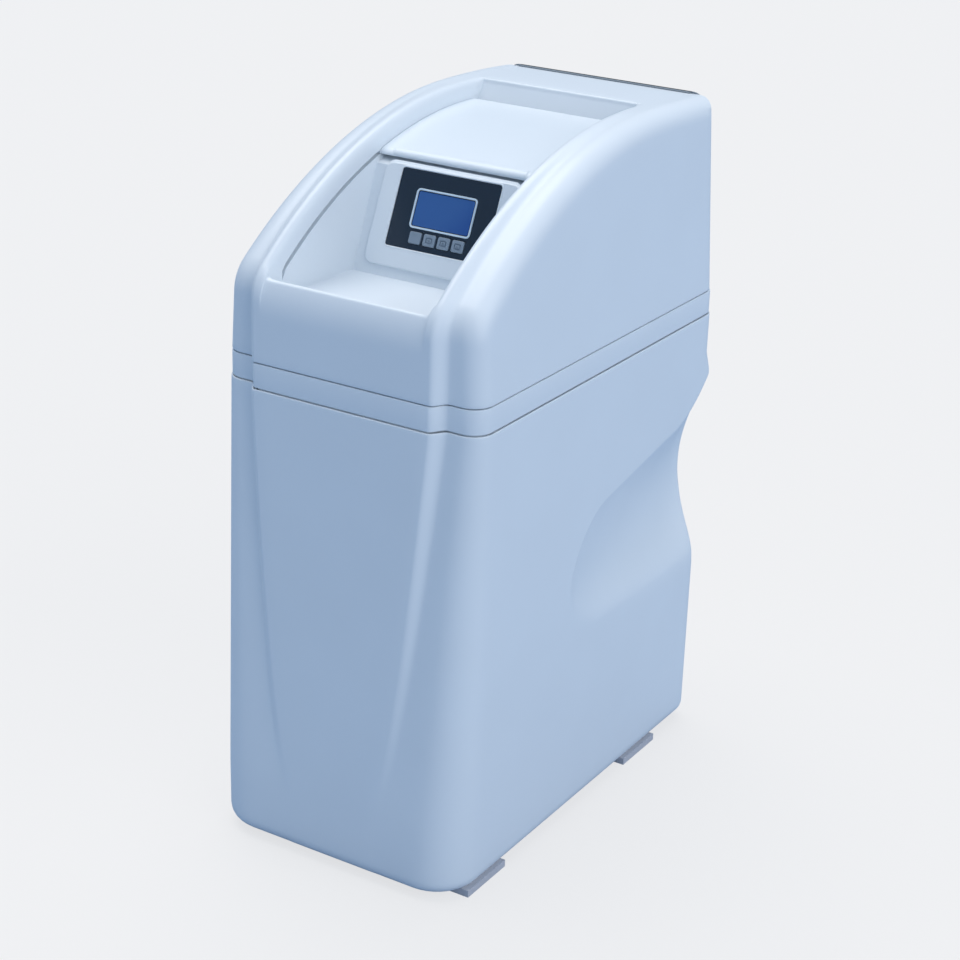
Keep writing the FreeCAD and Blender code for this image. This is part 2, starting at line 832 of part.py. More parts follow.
# Feet, shaped to the casing's rounded edge
casing_block = shaped("casing_block", casing_outside)
for side, hand in ((-1, "left"), (1, "right")):
    for middle, end in (
        (-half_depth + at.front_foot_set_back, "front"),
        (half_depth - at.rear_foot_set_in, "rear"),
    ):
        outer = half_width - at.foot_set_in
        low_x = outer - at.foot_width if side > 0 else -outer
        pad = box(f"{end}_{hand}_pad", at.foot_width, at.foot_length, at.ground_gap + at.foot_rise,
                  low_x, middle - at.foot_length / 2, 0)
        keep(cut(f"{end}_{hand}_foot", pad, casing_block), f"foot_{end}_{hand}")

# Collar: the band between casing and hood, with a lip up into the hood and one down into the casing
seam_z = float(at.casing_top)
hood_slope = math.tan(math.radians(at.side_draft))
hood_lip = float(at.collar_set_in + at.hood_wall + at.lip_clearance + at.lip_height * hood_slope)
hood_back_trim = float(at.rear_panel_thickness - at.collar_set_in)
casing_lip = float(at.casing_wall + at.lip_clearance)


def lip_ring(inset, back_trim, lift):
    outer = slab(plan(seam_z, inset, True, back_trim), float(at.lip_height))
    inner = slab(plan(seam_z, inset + float(at.lip_wall), True, back_trim), float(at.lip_height))
    edge = outer.cut(inner)
    edge.translate(Vector(0, 0, lift))
    return edge


collar_outside = slab(plan(seam_z, float(at.collar_set_in)), float(at.collar_height))
collar_inside = slab(plan(seam_z, float(at.collar_wall), True), float(at.collar_height))
collar_lips = [
    lip_ring(hood_lip, hood_back_trim, float(at.collar_height)),
    lip_ring(casing_lip, 0.0, -float(at.lip_height)),
]
keep(shaped("collar_ring", collar_outside.cut(collar_inside).fuse(collar_lips).removeSplitter()), "collar")

# Hood shell
hood_outside = hood_form(0.0, float(collar_top))
hood_inside = hood_form(float(at.hood_wall), float(collar_top - 1))
high = float(crown_height + 60)
recess = recess_form(0.0, at.rail_gap_half, high)
recess_shell = recess_form(float(at.hood_wall), at.rail_gap_half + at.rail_wall, high)
hood_shape = hood_outside.cut(recess).cut(hood_inside.cut(recess_shell))
mouth_depth = float(mouth_back_y - mouth_front_y)
deck_front_z = crown_axis_z + math.sqrt(deck_radius ** 2 - (mouth_front_y - crown_axis_y) ** 2)
skirt_foot = float(deck_front_z - at.mouth_skirt_drop)
mouth = Part.makeBox(
    float(at.mouth_half_width * 2), mouth_depth, 80.0,
    Vector(-at.mouth_half_width, mouth_front_y, skirt_foot - 1),
)
skirt = Part.makeBox(
    float(at.mouth_half_width * 2 + at.mouth_skirt * 2), mouth_depth + float(at.mouth_skirt * 2), 80.0,
    Vector(-at.mouth_half_width - at.mouth_skirt, mouth_front_y - at.mouth_skirt, skirt_foot),
)
under_deck = Part.makeCylinder(
    float(deck_radius - at.hood_wall / 2), float(at.body_width),
    Vector(-half_width, crown_axis_y, crown_axis_z), Vector(1, 0, 0),
)
hood_shape = hood_shape.fuse(skirt.common(under_deck)).cut(mouth)
groove = band_sector(
    lid_under - at.groove_clearance,
    lid_under + at.tongue_thickness + at.groove_clearance,
    at.lid_front_angle + at.lid_travel + 1,
    at.lid_back_angle - 1,
    at.rail_gap_half + at.tongue_reach + at.groove_clearance,
)
hood_shape = hood_shape.cut(groove)
rear_window = Part.makeBox(
    float(at.rear_window_half_width * 2), 40.0, float(at.hood_height - at.rear_window_drop + 2),
    Vector(-at.rear_window_half_width, half_depth - 30, collar_top - 1),
)
hood_body = shaped("hood_body", hood_shape.cut(rear_window))
boss_half = at.fascia_width / 2 - at.boss_margin
display_hole = wall_box(
    "display_hole", -boss_half - at.lip_clearance, at.boss_margin - at.lip_clearance, -at.hood_wall * 3,
    boss_half * 2 + at.lip_clearance * 2,
    at.fascia_height - at.boss_margin * 2 + at.lip_clearance * 2,
    at.hood_wall * 4,
)
rear_slope = math.tan(math.radians(at.back_draft))
panel_screws = []
screw_holes = []
for side in (-1, 1):
    for share in (0.15, 0.85):
        z = collar_top + (crown_height - collar_top) * share
        y = half_depth - (z - collar_top) * rear_slope + at.screw_head_radius * rear_slope
        shank = at.rear_panel_thickness + at.hood_wall
        head = cylinder("rear_screw_head", at.screw_head_radius, at.screw_head_height, side * at.rear_screw_x,
                        y, z, **ALONG_Y)
        rod = cylinder("rear_screw_rod", at.screw_radius, shank, side * at.rear_screw_x, y - shank, z,
                       **ALONG_Y)
        hole = cylinder("rear_screw_hole", at.screw_radius, shank + 6, side * at.rear_screw_x,
                        y - shank - 3, z, **ALONG_Y)
        panel_screws.append(fuse("rear_screw", head, rod))
        screw_holes.append(hole)
keep(cut("hood_with_holes", hood_body, display_hole, *screw_holes), "hood_shell")

# Rear panel
panel_bottom = collar_top + 2
cap_top = crown_height + at.rear_cap_height
cap_front_y = half_depth - at.rear_cap_depth - (crown_height - collar_top) * rear_slope
panel_body = padded(
    "rear_plate",
    [
        (half_depth - at.rear_panel_thickness - (panel_bottom - collar_top) * rear_slope, panel_bottom),
        (half_depth - (panel_bottom - collar_top) * rear_slope, panel_bottom),
        (half_depth - (cap_top - collar_top) * rear_slope, cap_top),
        (cap_front_y, cap_top),
        (cap_front_y, crown_height),
        (half_depth - at.rear_panel_thickness - (crown_height - collar_top) * rear_slope, crown_height),
    ],
    at.rear_panel_half_width * 2, "YZ_Plane", -at.rear_panel_half_width,
)
panel_notch = box(
    "panel_notch", at.rear_notch_half_width * 2, 40, collar_top + at.rear_notch_height - panel_bottom + 5,
    -at.rear_notch_half_width, half_depth - 30, panel_bottom - 5,
)
corner = at.rear_panel_corner
panel_corners = []
for side in (-1, 1):
    round_x = side * (at.rear_panel_half_width - corner)
    round_z = cap_top - corner
    low_x = round_x if side > 0 else round_x - corner - 2
    block = box("corner_block", corner + 2, 40, corner + 2, low_x, half_depth - 30, round_z)
    drum = cylinder("corner_drum", corner, 44, round_x, half_depth - 32, round_z, **ALONG_Y)
    panel_corners.append(cut("panel_corner", block, drum))
keep(cut("rear_plate_cut", panel_body, panel_notch, *panel_corners, *screw_holes), "rear_panel")
keep(fuse("rear_screws", *panel_screws), "rear_panel_screws")

# Lid
lid_skin = band_sector(
    lid_under, lid_under + at.lid_thickness, at.lid_front_angle, at.lid_back_angle,
    at.rail_gap_half - at.lid_side_gap,
)
tongues = band_sector(
    lid_under, lid_under + at.tongue_thickness, at.lid_front_angle, at.lid_back_angle,
    at.rail_gap_half + at.tongue_reach,
)
lip_angle = math.degrees(at.lid_lip / lid_under)
finger_lip = band_sector(
    lid_under, lid_under + at.lid_thickness + 1.6, at.lid_front_angle, at.lid_front_angle - lip_angle,
    at.rail_gap_half - at.lid_side_gap - 14,
)
keep(shaped("lid_panel", lid_skin.fuse([tongues, finger_lip]).removeSplitter()), "slide_lid")

# Display bezel with its boss through the wall
bezel_plate = padded(
    "bezel_plate",
    [
        (-at.bezel_half_width, at.bezel_bottom),
        (at.bezel_half_width, at.bezel_bottom),
        (at.bezel_half_width, at.bezel_top),
        (-at.bezel_half_width, at.bezel_top),
    ],
    at.bezel_thickness,
)
rounded(bezel_plate, "bezel_round", at.bezel_corner, upright)
on_wall(bezel_plate)
fascia_floor = at.bezel_thickness - at.fascia_sunk - at.fascia_thickness
fascia_seat = wall_box(
    "fascia_seat", -at.fascia_width / 2, 0, fascia_floor, at.fascia_width, at.fascia_height,
    at.bezel_thickness,
)
boss_height = at.fascia_height - at.boss_margin * 2
boss = wall_box("boss", -boss_half, at.boss_margin, -at.boss_depth, boss_half * 2, boss_height, at.boss_depth)
boss_space = wall_box(
    "boss_space", -boss_half + at.boss_wall, at.boss_margin + at.boss_wall, -at.boss_depth - 1,
    (boss_half - at.boss_wall) * 2, boss_height - at.boss_wall * 2, at.boss_depth + 1,
)
window_view = wall_box(
    "window_view", -at.window_width / 2, at.window_bottom, -1, at.window_width, at.window_height,
    at.bezel_thickness + 2,
)
key_places = [(number - 1.5) * at.key_pitch for number in range(4)]
key_low = at.key_middle - at.key_height / 2
key_holes = [
    wall_box(
        f"key_hole_{number}", x - at.key_width / 2 - at.key_clearance, key_low - at.key_clearance, -1,
        at.key_width + at.key_clearance * 2, at.key_height + at.key_clearance * 2, at.bezel_thickness + 2,
    )
    for number, x in enumerate(key_places, start=1)
]
bezel_block = fuse("bezel_block", bezel_plate, boss)
keep(cut("bezel", bezel_block, fascia_seat, boss_space, window_view, *key_holes), "display_bezel")

# Fascia, window and frame
fascia_plate = wall_box(
    "fascia_plate", -at.fascia_width / 2, 0, fascia_floor, at.fascia_width, at.fascia_height,
    at.fascia_thickness,
)
keep(cut("fascia", fascia_plate, window_view, *key_holes), "display_fascia")
keep(
    wall_box("window", -at.window_width / 2, at.window_bottom, fascia_floor, at.window_width,
             at.window_height, at.window_thickness),
    "display_window",
)
frame_block = wall_box(
    "frame_block", -at.window_width / 2 - at.frame_rim, at.window_bottom - at.frame_rim,
    at.bezel_thickness - at.fascia_sunk, at.window_width + at.frame_rim * 2,
    at.window_height + at.frame_rim * 2, at.frame_proud,
)
frame_view = wall_box(
    "frame_view", -at.window_width / 2, at.window_bottom, -1, at.window_width, at.window_height,
    at.bezel_thickness + 4,
)
keep(cut("frame_ring", frame_block, frame_view), "window_frame")

# Keys: a cap, a flange behind the bezel and a stem to the switch
key_face = at.bezel_thickness - at.fascia_sunk + at.key_proud
switch_top = -at.boss_depth + at.switch_size - 1
for number, x in enumerate(key_places, start=1):
    cap = wall_box(f"key_cap_{number}", x - at.key_width / 2, key_low, -at.key_flange, at.key_width,
                   at.key_height, key_face + at.key_flange)
    flange = wall_box(
        f"key_flange_{number}", x - at.key_width / 2 - at.key_flange, key_low,
        -at.key_flange - at.lip_clearance, at.key_width + at.key_flange * 2, at.key_height, at.key_flange,
    )
    stem = on_wall(
        cylinder(f"key_stem_{number}", 2.2, -switch_top - at.key_travel - at.key_flange),
        x, at.key_middle, switch_top + at.key_travel + 0.1,
    )
    keep(fuse(f"key_{number}_solid", cap, flange, stem), f"key_{number}")

# Circuit board with the display module and four switches
board = wall_box("board", -boss_half, at.boss_margin, -at.boss_depth - at.board_thickness, boss_half * 2,
                 boss_height, at.board_thickness)
module = wall_box(
    "display_module", -at.window_width / 2, at.window_bottom, -at.boss_depth, at.window_width,
    at.window_height,
    at.boss_depth + fascia_floor - 0.2,
)
switches = [
    wall_box(f"switch_{number}", x - at.switch_size / 2, at.key_middle - at.switch_size / 2, -at.boss_depth,
             at.switch_size, at.switch_size, at.switch_size - 1)
    for number, x in enumerate(key_places, start=1)
]
keep(fuse("board_with_parts", board, module, *switches), "circuit_board")

# Pressure vessel
vessel_foot = floor_top + at.boot_floor


def vessel_outline(inset, neck):
    """Half section of the vessel: both domes as chains of chords on an ellipse."""
    radius = at.vessel_radius - inset
    dome = at.dome_height - inset
    low = at.dome_height
    tall = vessel_height - at.dome_height
    steps = 6
    corners = [(0, low - dome)]
    for step in range(1, steps + 1):
        angle = 90.0 * step / steps
        corners.append((radius * math.sin(math.radians(angle)), low - dome * math.cos(math.radians(angle))))
    for step in range(steps):
        angle = 90.0 * step / steps
        across = radius * math.cos(math.radians(angle))
        if across > neck:
            corners.append((across, tall + dome * math.sin(math.radians(angle))))
    corners.append((neck, corners[-1][1]))
    corners.append((neck, vessel_height + at.neck_height))
    corners.append((0, vessel_height + at.neck_height))
    return corners


vessel_form = turned("vessel_form", vessel_outline(0, at.neck_radius), 0, vessel_y, vessel_foot)
vessel_space = turned("vessel_space", vessel_outline(at.vessel_wall, at.neck_bore), 0, vessel_y, vessel_foot)
keep(cut("vessel", vessel_form, vessel_space), "pressure_vessel")
boot_block = cylinder("boot_block", at.vessel_radius + 1.4, at.boot_height, 0, vessel_y, floor_top)
boot_hole = cylinder("boot_hole", at.vessel_radius / 2, at.boot_floor + 40, 0, vessel_y, floor_top - 1)
keep(cut("boot", boot_block, vessel_form, boot_hole), "vessel_boot")

# Riser tube, baskets and beds inside the vessel
basket_foot = vessel_foot + at.vessel_wall + at.basket_seat
riser_foot = basket_foot + at.basket_height / 2
riser_top = neck_top + at.chamber_floor - 8
keep(tube("riser", at.riser_radius, at.riser_bore, riser_top - riser_foot, 0, vessel_y, riser_foot),
     "riser_tube")
lower_outside = cylinder("lower_outside", at.basket_radius, at.basket_height, 0, vessel_y, basket_foot)
lower_space = cylinder("lower_space", at.riser_radius, at.basket_height, 0, vessel_y, riser_foot)
lower_well = cylinder("lower_well", at.basket_radius - 3, at.basket_height / 2 - 6, 0, vessel_y,
                      basket_foot + 3)
lower_basket = cut("lower_basket_solid", lower_outside, lower_space, lower_well)
keep(lower_basket, "lower_basket")
upper_height = at.basket_height - 12
upper_foot = neck_top - at.spigot_depth - upper_height
keep(tube("upper_basket_solid", at.basket_radius, at.riser_radius, upper_height, 0, vessel_y, upper_foot),
     "upper_basket")
gravel_slab = cylinder("gravel_slab", at.vessel_radius + 5, at.gravel_top, 0, vessel_y, floor_top)
gravel_all = common("gravel_all", vessel_space, gravel_slab)
riser_form = cylinder("riser_form", at.riser_radius, riser_top - riser_foot, 0, vessel_y, riser_foot)
keep(cut("gravel", gravel_all, lower_outside, riser_form), "gravel_bed")
media_slab = cylinder("media_slab", at.vessel_radius + 5, at.media_top - at.gravel_top, 0, vessel_y,
                      floor_top + at.gravel_top)
media_all = common("media_all", vessel_space, media_slab)
keep(cut("media", media_all, riser_form), "media_bed")

# Valve body
valve_form = turned(
    "valve_form",
    [
        (0, -at.spigot_depth),
        (at.neck_bore, -at.spigot_depth),
        (at.neck_bore, 0),
        (at.flange_radius, 0),
        (at.flange_radius, at.flange_height),
        (at.valve_radius, at.flange_height),
        (at.valve_radius, at.valve_height - 10),
        (at.valve_radius + 3, at.valve_height - 10),
        (at.valve_radius + 3, at.valve_height),
        (0, at.valve_height),
    ],
    0, vessel_y, neck_top,
)
ports = [
    cylinder(f"port_{number}", at.port_radius, at.port_reach, side * at.port_half_pitch, vessel_y, port_z,
             **ALONG_Y)
    for number, side in enumerate((-1, 1), start=1)
]
side_z = port_z - 6
side_start = at.valve_radius - 4
drain_port = cylinder("drain_port", at.side_port_radius, at.side_port_reach + 4,
                      -at.valve_radius - at.side_port_reach, vessel_y, side_z, **ALONG_X)
injector_port = cylinder("injector_port", at.side_port_radius, at.side_port_reach + 4, side_start, vessel_y,
                         side_z, **ALONG_X)
brine_port = cylinder("brine_port", at.side_port_radius, at.side_port_reach + 4, 0, vessel_y - side_start,
                      side_z, **AGAINST_Y)
valve_solid = fuse("valve_solid", valve_form, *ports, drain_port, injector_port, brine_port)
riser_socket = cylinder("riser_socket", at.riser_radius, at.chamber_floor + at.spigot_depth - 8, 0, vessel_y,
                        neck_top - at.spigot_depth)
riser_way = cylinder("riser_way", at.riser_bore, 20, 0, vessel_y, neck_top + at.chamber_floor - 10)
chamber = cylinder("chamber", at.chamber_radius, at.disc_seat - at.chamber_floor + 1, 0, vessel_y,
                   neck_top + at.chamber_floor)
disc_room = cylinder("disc_room", at.disc_radius, at.valve_height, 0, vessel_y, neck_top + at.disc_seat)
port_ways = [
    cylinder(f"port_way_{number}", at.port_bore, at.port_reach, side * at.port_half_pitch, vessel_y + 6,
             port_z, **ALONG_Y)
    for number, side in enumerate((-1, 1), start=1)
]
side_way = cylinder("side_way", at.side_port_bore, (at.valve_radius + at.side_port_reach) * 2,
                    -at.valve_radius - at.side_port_reach, vessel_y, side_z, **ALONG_X)
brine_way = cylinder("brine_way", at.side_port_bore, at.valve_radius + at.side_port_reach, 0, vessel_y,
                     side_z, **AGAINST_Y)
bonnet_holes = []
bonnet_screw_solids = []
for number in range(6):
    angle = math.radians(60 * number + 30)
    x = at.bonnet_screw_circle * math.cos(angle)
    y = vessel_y + at.bonnet_screw_circle * math.sin(angle)
    bonnet_holes.append(cylinder(f"bonnet_hole_{number}", at.screw_radius, 18, x, y, bonnet_top - 18))
    rod = cylinder(f"bonnet_screw_rod_{number}", at.screw_radius, 18, x, y, bonnet_top - 18)
    head = cylinder(f"bonnet_screw_head_{number}", at.screw_head_radius, at.screw_head_height, x, y,
                    bonnet_top)
    bonnet_screw_solids.append(fuse(f"bonnet_screw_{number}", rod, head))
keep(
    cut("valve_cut", valve_solid, riser_socket, riser_way, chamber, disc_room, *port_ways, side_way,
        brine_way, *bonnet_holes),
    "valve_body",
)

# Ceramic discs, stem and gears
disc_foot = neck_top + at.disc_seat
fixed_disc = cylinder("fixed_disc_solid", at.disc_radius, at.disc_thickness, 0, vessel_y, disc_foot)
disc_ports = [
    cylinder(f"disc_port_{number}", 5, at.disc_thickness + 2, 16 * math.cos(math.radians(120 * number)),
             vessel_y + 16 * math.sin(math.radians(120 * number)), disc_foot - 1)
    for number in range(3)
]
keep(cut("fixed_disc_cut", fixed_disc, *disc_ports), "fixed_disc")
moving_foot = disc_foot + at.disc_thickness + at.disc_gap
moving_disc = cylinder("moving_disc_solid", at.disc_radius - 2, at.disc_thickness, 0, vessel_y, moving_foot)
moving_port = cylinder("moving_port", 5, at.disc_thickness + 2, 16, vessel_y, moving_foot - 1)
keep(cut("moving_disc_cut", moving_disc, moving_port), "moving_disc")
stem_foot = moving_foot + at.disc_thickness
gear_foot = bonnet_top + at.gear_lift
keep(cylinder("stem", at.stem_radius, gear_foot + at.gear_thickness - stem_foot, 0, vessel_y, stem_foot),
     "disc_stem")


def gear_shape(teeth, thickness, bore):
    """Spur gear: involute flanks in short chords from root to tip, with backlash taken off each tooth."""
    module = float(at.gear_module)
    pitch = module * teeth / 2
    base = pitch * math.cos(math.radians(20))
    root = pitch - 1.25 * module
    tip = pitch + module
    inv_pitch = math.tan(math.radians(20)) - math.radians(20)
    half_tooth = (math.pi * module / 2 - at.gear_backlash) / (2 * pitch)
    points = []
    for tooth in range(int(teeth)):
        centre = 2 * math.pi * tooth / teeth
        flank = []
        for share in (0.0, 0.35, 0.7, 1.0):
            radius = max(root, base) + (tip - max(root, base)) * share
            angle = math.acos(min(1.0, base / radius))
            spread = half_tooth + inv_pitch - (math.tan(angle) - angle)
            flank.append((radius, spread))
        rising = [(root, flank[0][1])] + flank
        for radius, spread in rising:
            points.append(Vector(radius * math.cos(centre - spread), radius * math.sin(centre - spread), 0))
        for radius, spread in reversed(rising):
            points.append(Vector(radius * math.cos(centre + spread), radius * math.sin(centre + spread), 0))
    outline = Part.makePolygon(points + points[:1])
    blank = Part.Face(outline).extrude(Vector(0, 0, float(thickness)))
    return blank.cut(Part.makeCylinder(float(bore), float(thickness)))


gear = shaped("gear", gear_shape(float(at.gear_teeth), at.gear_thickness, at.stem_radius))
keep(place(gear, 0, vessel_y, gear_foot), "drive_gear")
centre_distance = at.gear_module * (at.gear_teeth + at.pinion_teeth) / 2
pinion_gear = gear_shape(float(at.pinion_teeth), at.gear_thickness, at.spindle_radius)
pinion_gear.rotate(Vector(0, 0, 0), Vector(0, 0, 1), 180.0 / at.pinion_teeth + 180.0)
cover_top = bonnet_top + at.cover_inner_height + at.cover_wall
spindle_length = cover_top + at.motor_height / 2 - gear_foot
spindle = Part.makeCylinder(float(at.spindle_radius), float(spindle_length))
pinion = shaped("pinion", pinion_gear.fuse(spindle))
keep(place(pinion, centre_distance, vessel_y, gear_foot), "motor_pinion")

# Bonnet, its screws, gear cover and drive motor
bonnet_disc = cylinder("bonnet_disc", at.valve_radius + 3, at.bonnet_thickness, 0, vessel_y, valve_top)
tray_reach = centre_distance + at.motor_radius + 1
bonnet_tray = box("bonnet_tray", tray_reach, at.motor_radius * 3, at.bonnet_thickness / 2, 0,
                  vessel_y - at.motor_radius * 1.5, bonnet_top - at.bonnet_thickness / 2)
stem_bore = cylinder("stem_bore", at.stem_radius + at.running_gap, at.bonnet_thickness + 2, 0, vessel_y,
                     valve_top - 1)
keep(cut("bonnet_cut", fuse("bonnet_solid", bonnet_disc, bonnet_tray), stem_bore, *bonnet_holes),
     "valve_bonnet")
keep(fuse("bonnet_screw_set", *bonnet_screw_solids), "bonnet_screws")
cover_left = -at.cover_half_depth
cover_length = at.cover_half_depth + tray_reach
cover_block = box("cover_block", cover_length, at.cover_half_depth * 2, at.cover_inner_height + at.cover_wall,
                  cover_left, vessel_y - at.cover_half_depth, bonnet_top)
cover_space = box("cover_space", cover_length - at.cover_wall * 2, (at.cover_half_depth - at.cover_wall) * 2,
                  at.cover_inner_height + 1, cover_left + at.cover_wall,
                  vessel_y - at.cover_half_depth + at.cover_wall, bonnet_top - 1)
spindle_hole = cylinder("spindle_hole", at.spindle_radius + at.running_gap, 20, centre_distance, vessel_y,
                        cover_top - 10)
jack_z = bonnet_top + at.cover_inner_height / 2
jack_y = vessel_y + at.cover_half_depth
jack_hole = cylinder("jack_hole", at.jack_radius, at.cover_wall + 4, 0, jack_y - at.cover_wall - 2,
                     jack_z, **ALONG_Y)
keep(cut("cover", cover_block, cover_space, spindle_hole, jack_hole), "gear_cover")
motor_case = turned(
    "motor_case",
    [
        (at.spindle_radius + at.running_gap, 0),
        (at.motor_radius, 0),
        (at.motor_radius, at.motor_height - 3),
        (at.motor_radius - 3, at.motor_height),
        (0, at.motor_height),
        (0, at.motor_height / 2 + 1),
        (at.spindle_radius + at.running_gap, at.motor_height / 2 + 1),
    ],
    centre_distance, vessel_y, cover_top,
)
keep(motor_case, "drive_motor")
jack = turned(
    "jack",
    [
        (at.jack_bore, 0),
        (at.jack_radius, 0),
        (at.jack_radius, at.jack_length - 2),
        (at.jack_radius + 1.5, at.jack_length - 2),
        (at.jack_radius + 1.5, at.jack_length),
        (at.jack_bore, at.jack_length),
    ],
    0, jack_y - at.jack_length + 2, jack_z, **ALONG_Y,
)
keep(jack, "power_inlet")

# Injector cap and side fittings
injector_x = at.valve_radius + at.side_port_reach
keep(
    turned(
        "injector",
        [
            (0, 0), (at.side_port_radius + 3, 0), (at.side_port_radius + 3, 8), (at.side_port_radius, 8),
            (at.side_port_radius, 11), (0, 11),
        ],
        injector_x, vessel_y, side_z, **ALONG_X,
    ),
    "injector_cap",
)
elbow_x = -at.valve_radius - at.side_port_reach
corner_x = elbow_x - at.elbow_radius * 2
elbow_stub = cylinder("elbow_stub", at.elbow_radius, at.elbow_radius * 2, corner_x, vessel_y, side_z,
                      **ALONG_X)
elbow_ball = doc.addObject("Part::Sphere", "elbow_ball")
bind(elbow_ball, "Radius", at.elbow_radius)
place(elbow_ball, corner_x, vessel_y, side_z)
drain_spigot = turned(
    "drain_spigot",
    [
        (0, 0), (at.spigot_radius + at.spigot_shoulder, 0),
        (at.spigot_radius + at.spigot_shoulder, at.spigot_shoulder_length),
        (at.spigot_radius, at.spigot_shoulder_length), (at.spigot_radius, at.spigot_length - 1),
        (at.spigot_radius - 1, at.spigot_length), (0, at.spigot_length),
    ],
    corner_x, vessel_y, side_z, **ALONG_Y,
)
drain_way = cylinder("drain_way", at.spigot_bore, at.spigot_length + 1, corner_x, vessel_y, side_z, **ALONG_Y)
stub_way = cylinder("stub_way", at.spigot_bore, at.elbow_radius * 2 + 1, corner_x, vessel_y, side_z,
                    **ALONG_X)
keep(cut("drain_elbow_solid", fuse("drain_elbow_outside", elbow_stub, elbow_ball, drain_spigot),
     drain_way, stub_way), "drain_elbow")
brine_start = vessel_y - at.valve_radius - at.side_port_reach
brine_fitting = turned(
    "brine_fitting",
    [
        (at.hose_radius - 1, 0), (at.side_port_radius, 0), (at.side_port_radius, 4), (6.5, 4), (6.5, 12),
        (at.hose_radius, 12), (at.hose_radius, 4), (at.hose_radius - 1, 4),
    ],
    0, brine_start, side_z, **AGAINST_Y,
)
keep(brine_fitting, "brine_fitting")

# Bypass with two quarter-turn plugs
bypass_start = vessel_y + at.port_reach
bypass_end = bypass_start + at.bypass_length
plug_y = bypass_start + at.tower_radius + 1
bypass_solids = []
bypass_cuts = []
for side, hand in ((-1, "outlet"), (1, "inlet")):
    x = side * at.port_half_pitch
    bypass_solids.append(cylinder(f"{hand}_pipe", at.thread_radius, at.bypass_length, x, bypass_start, port_z,
                                  **ALONG_Y))
    bypass_solids.append(cylinder(f"{hand}_tower", at.tower_radius, at.tower_height + at.plug_radius + 3,
                                  x, plug_y, port_z - at.plug_radius - 3))
    bypass_cuts.append(cylinder(f"{hand}_way", at.port_bore, at.bypass_length + 2, x, bypass_start - 1,
                                port_z, **ALONG_Y))
    bypass_cuts.append(cylinder(f"{hand}_plug_room", at.plug_radius + at.running_gap,
                                at.tower_height + at.plug_radius + 2, x, plug_y, port_z - at.plug_radius))
bypass_solids.append(cylinder("cross_tube", at.cross_tube_radius, at.port_half_pitch * 2,
                              -at.port_half_pitch, plug_y, port_z, **ALONG_X))
bypass_cuts.append(cylinder("cross_way", at.cross_tube_bore, at.port_half_pitch * 2, -at.port_half_pitch,
                            plug_y, port_z, **ALONG_X))
keep(cut("bypass", fuse("bypass_outside", *bypass_solids), *bypass_cuts), "bypass_body")
tower_top = port_z + at.tower_height
for side, hand in ((-1, "outlet"), (1, "inlet")):
    x = side * at.port_half_pitch
    plug = cylinder(f"{hand}_plug", at.plug_radius, at.tower_height + at.plug_radius - 0.3, x, plug_y,
                    port_z - at.plug_radius + 0.3)
    head = turned(
        f"{hand}_head",
        [
            (0, 0), (at.knob_radius, 0), (at.knob_radius, at.knob_height - 2),
            (at.knob_radius - 2, at.knob_height), (0, at.knob_height),
        ],
        x, plug_y, tower_top + at.lip_clearance,
    )
    handle = box(f"{hand}_handle", at.handle_width, at.knob_radius * 2 - 2, at.handle_height,
                 x - at.handle_width / 2, plug_y - at.knob_radius + 1, tower_top + at.knob_height)
    neck = cylinder(f"{hand}_neck", at.plug_radius, at.knob_height / 2, x, plug_y,
                    tower_top - at.lip_clearance)
    way = cylinder(f"{hand}_plug_way", at.plug_bore, at.plug_radius * 2 + 2, x,
                   plug_y - at.plug_radius - 1, port_z, **ALONG_Y)
    keep(cut(f"{hand}_knob_solid", fuse(f"{hand}_knob_outside", plug, head, handle, neck), way),
         f"{hand}_knob")

# Couplings, flat seals and union nuts
seals = []
nuts = []
nut_length = at.nut_overlap + at.seal_thickness + at.coupling_flange + at.nut_collar
for side, hand in ((-1, "outlet"), (1, "inlet")):
    x = side * at.port_half_pitch
    seals.append(tube(f"{hand}_seal", at.thread_radius - 1, at.port_bore, at.seal_thickness, x,
                      bypass_end, port_z, **ALONG_Y))
    flange_start = bypass_end + at.seal_thickness
    shoulder_end = bypass_end - at.nut_overlap + nut_length + 0.5
    coupling = turned(
        f"{hand}_coupling_solid",
        [
            (at.coupling_bore, 0), (at.thread_radius - 1, 0), (at.thread_radius - 1, at.coupling_flange),
            (at.coupling_radius + at.coupling_shoulder, at.coupling_flange),
            (at.coupling_radius + at.coupling_shoulder, shoulder_end - flange_start),
            (at.coupling_radius, shoulder_end - flange_start), (at.coupling_radius,
            foremost - flange_start - 1),
            (at.coupling_radius - 1, foremost - flange_start), (at.coupling_bore, foremost - flange_start),
        ],
        x, flange_start, port_z, **ALONG_Y,
    )
    keep(coupling, f"{hand}_coupling")
    nut_start = bypass_end - at.nut_overlap
    hexagon = doc.addObject("Part::Prism", f"{hand}_hexagon")
    hexagon.Polygon = 6
    bind(hexagon, "Circumradius", at.nut_flats / 2 / math.cos(math.radians(30)))
    bind(hexagon, "Height", nut_length)
    place(hexagon, x, nut_start, port_z, **ALONG_Y)
    thread_room = cylinder(f"{hand}_thread_room", at.thread_radius,
                           at.nut_overlap + at.seal_thickness + at.coupling_flange, x, nut_start, port_z,
                               **ALONG_Y)
    pipe_room = cylinder(f"{hand}_pipe_room", at.coupling_radius + at.coupling_shoulder + 0.2,
                         nut_length + 2, x, nut_start - 1, port_z, **ALONG_Y)
    nuts.append(cut(f"{hand}_nut", hexagon, thread_room, pipe_room))
keep(fuse("seal_pair", *seals), "port_seals")
keep(fuse("nut_pair", *nuts), "coupling_nuts")

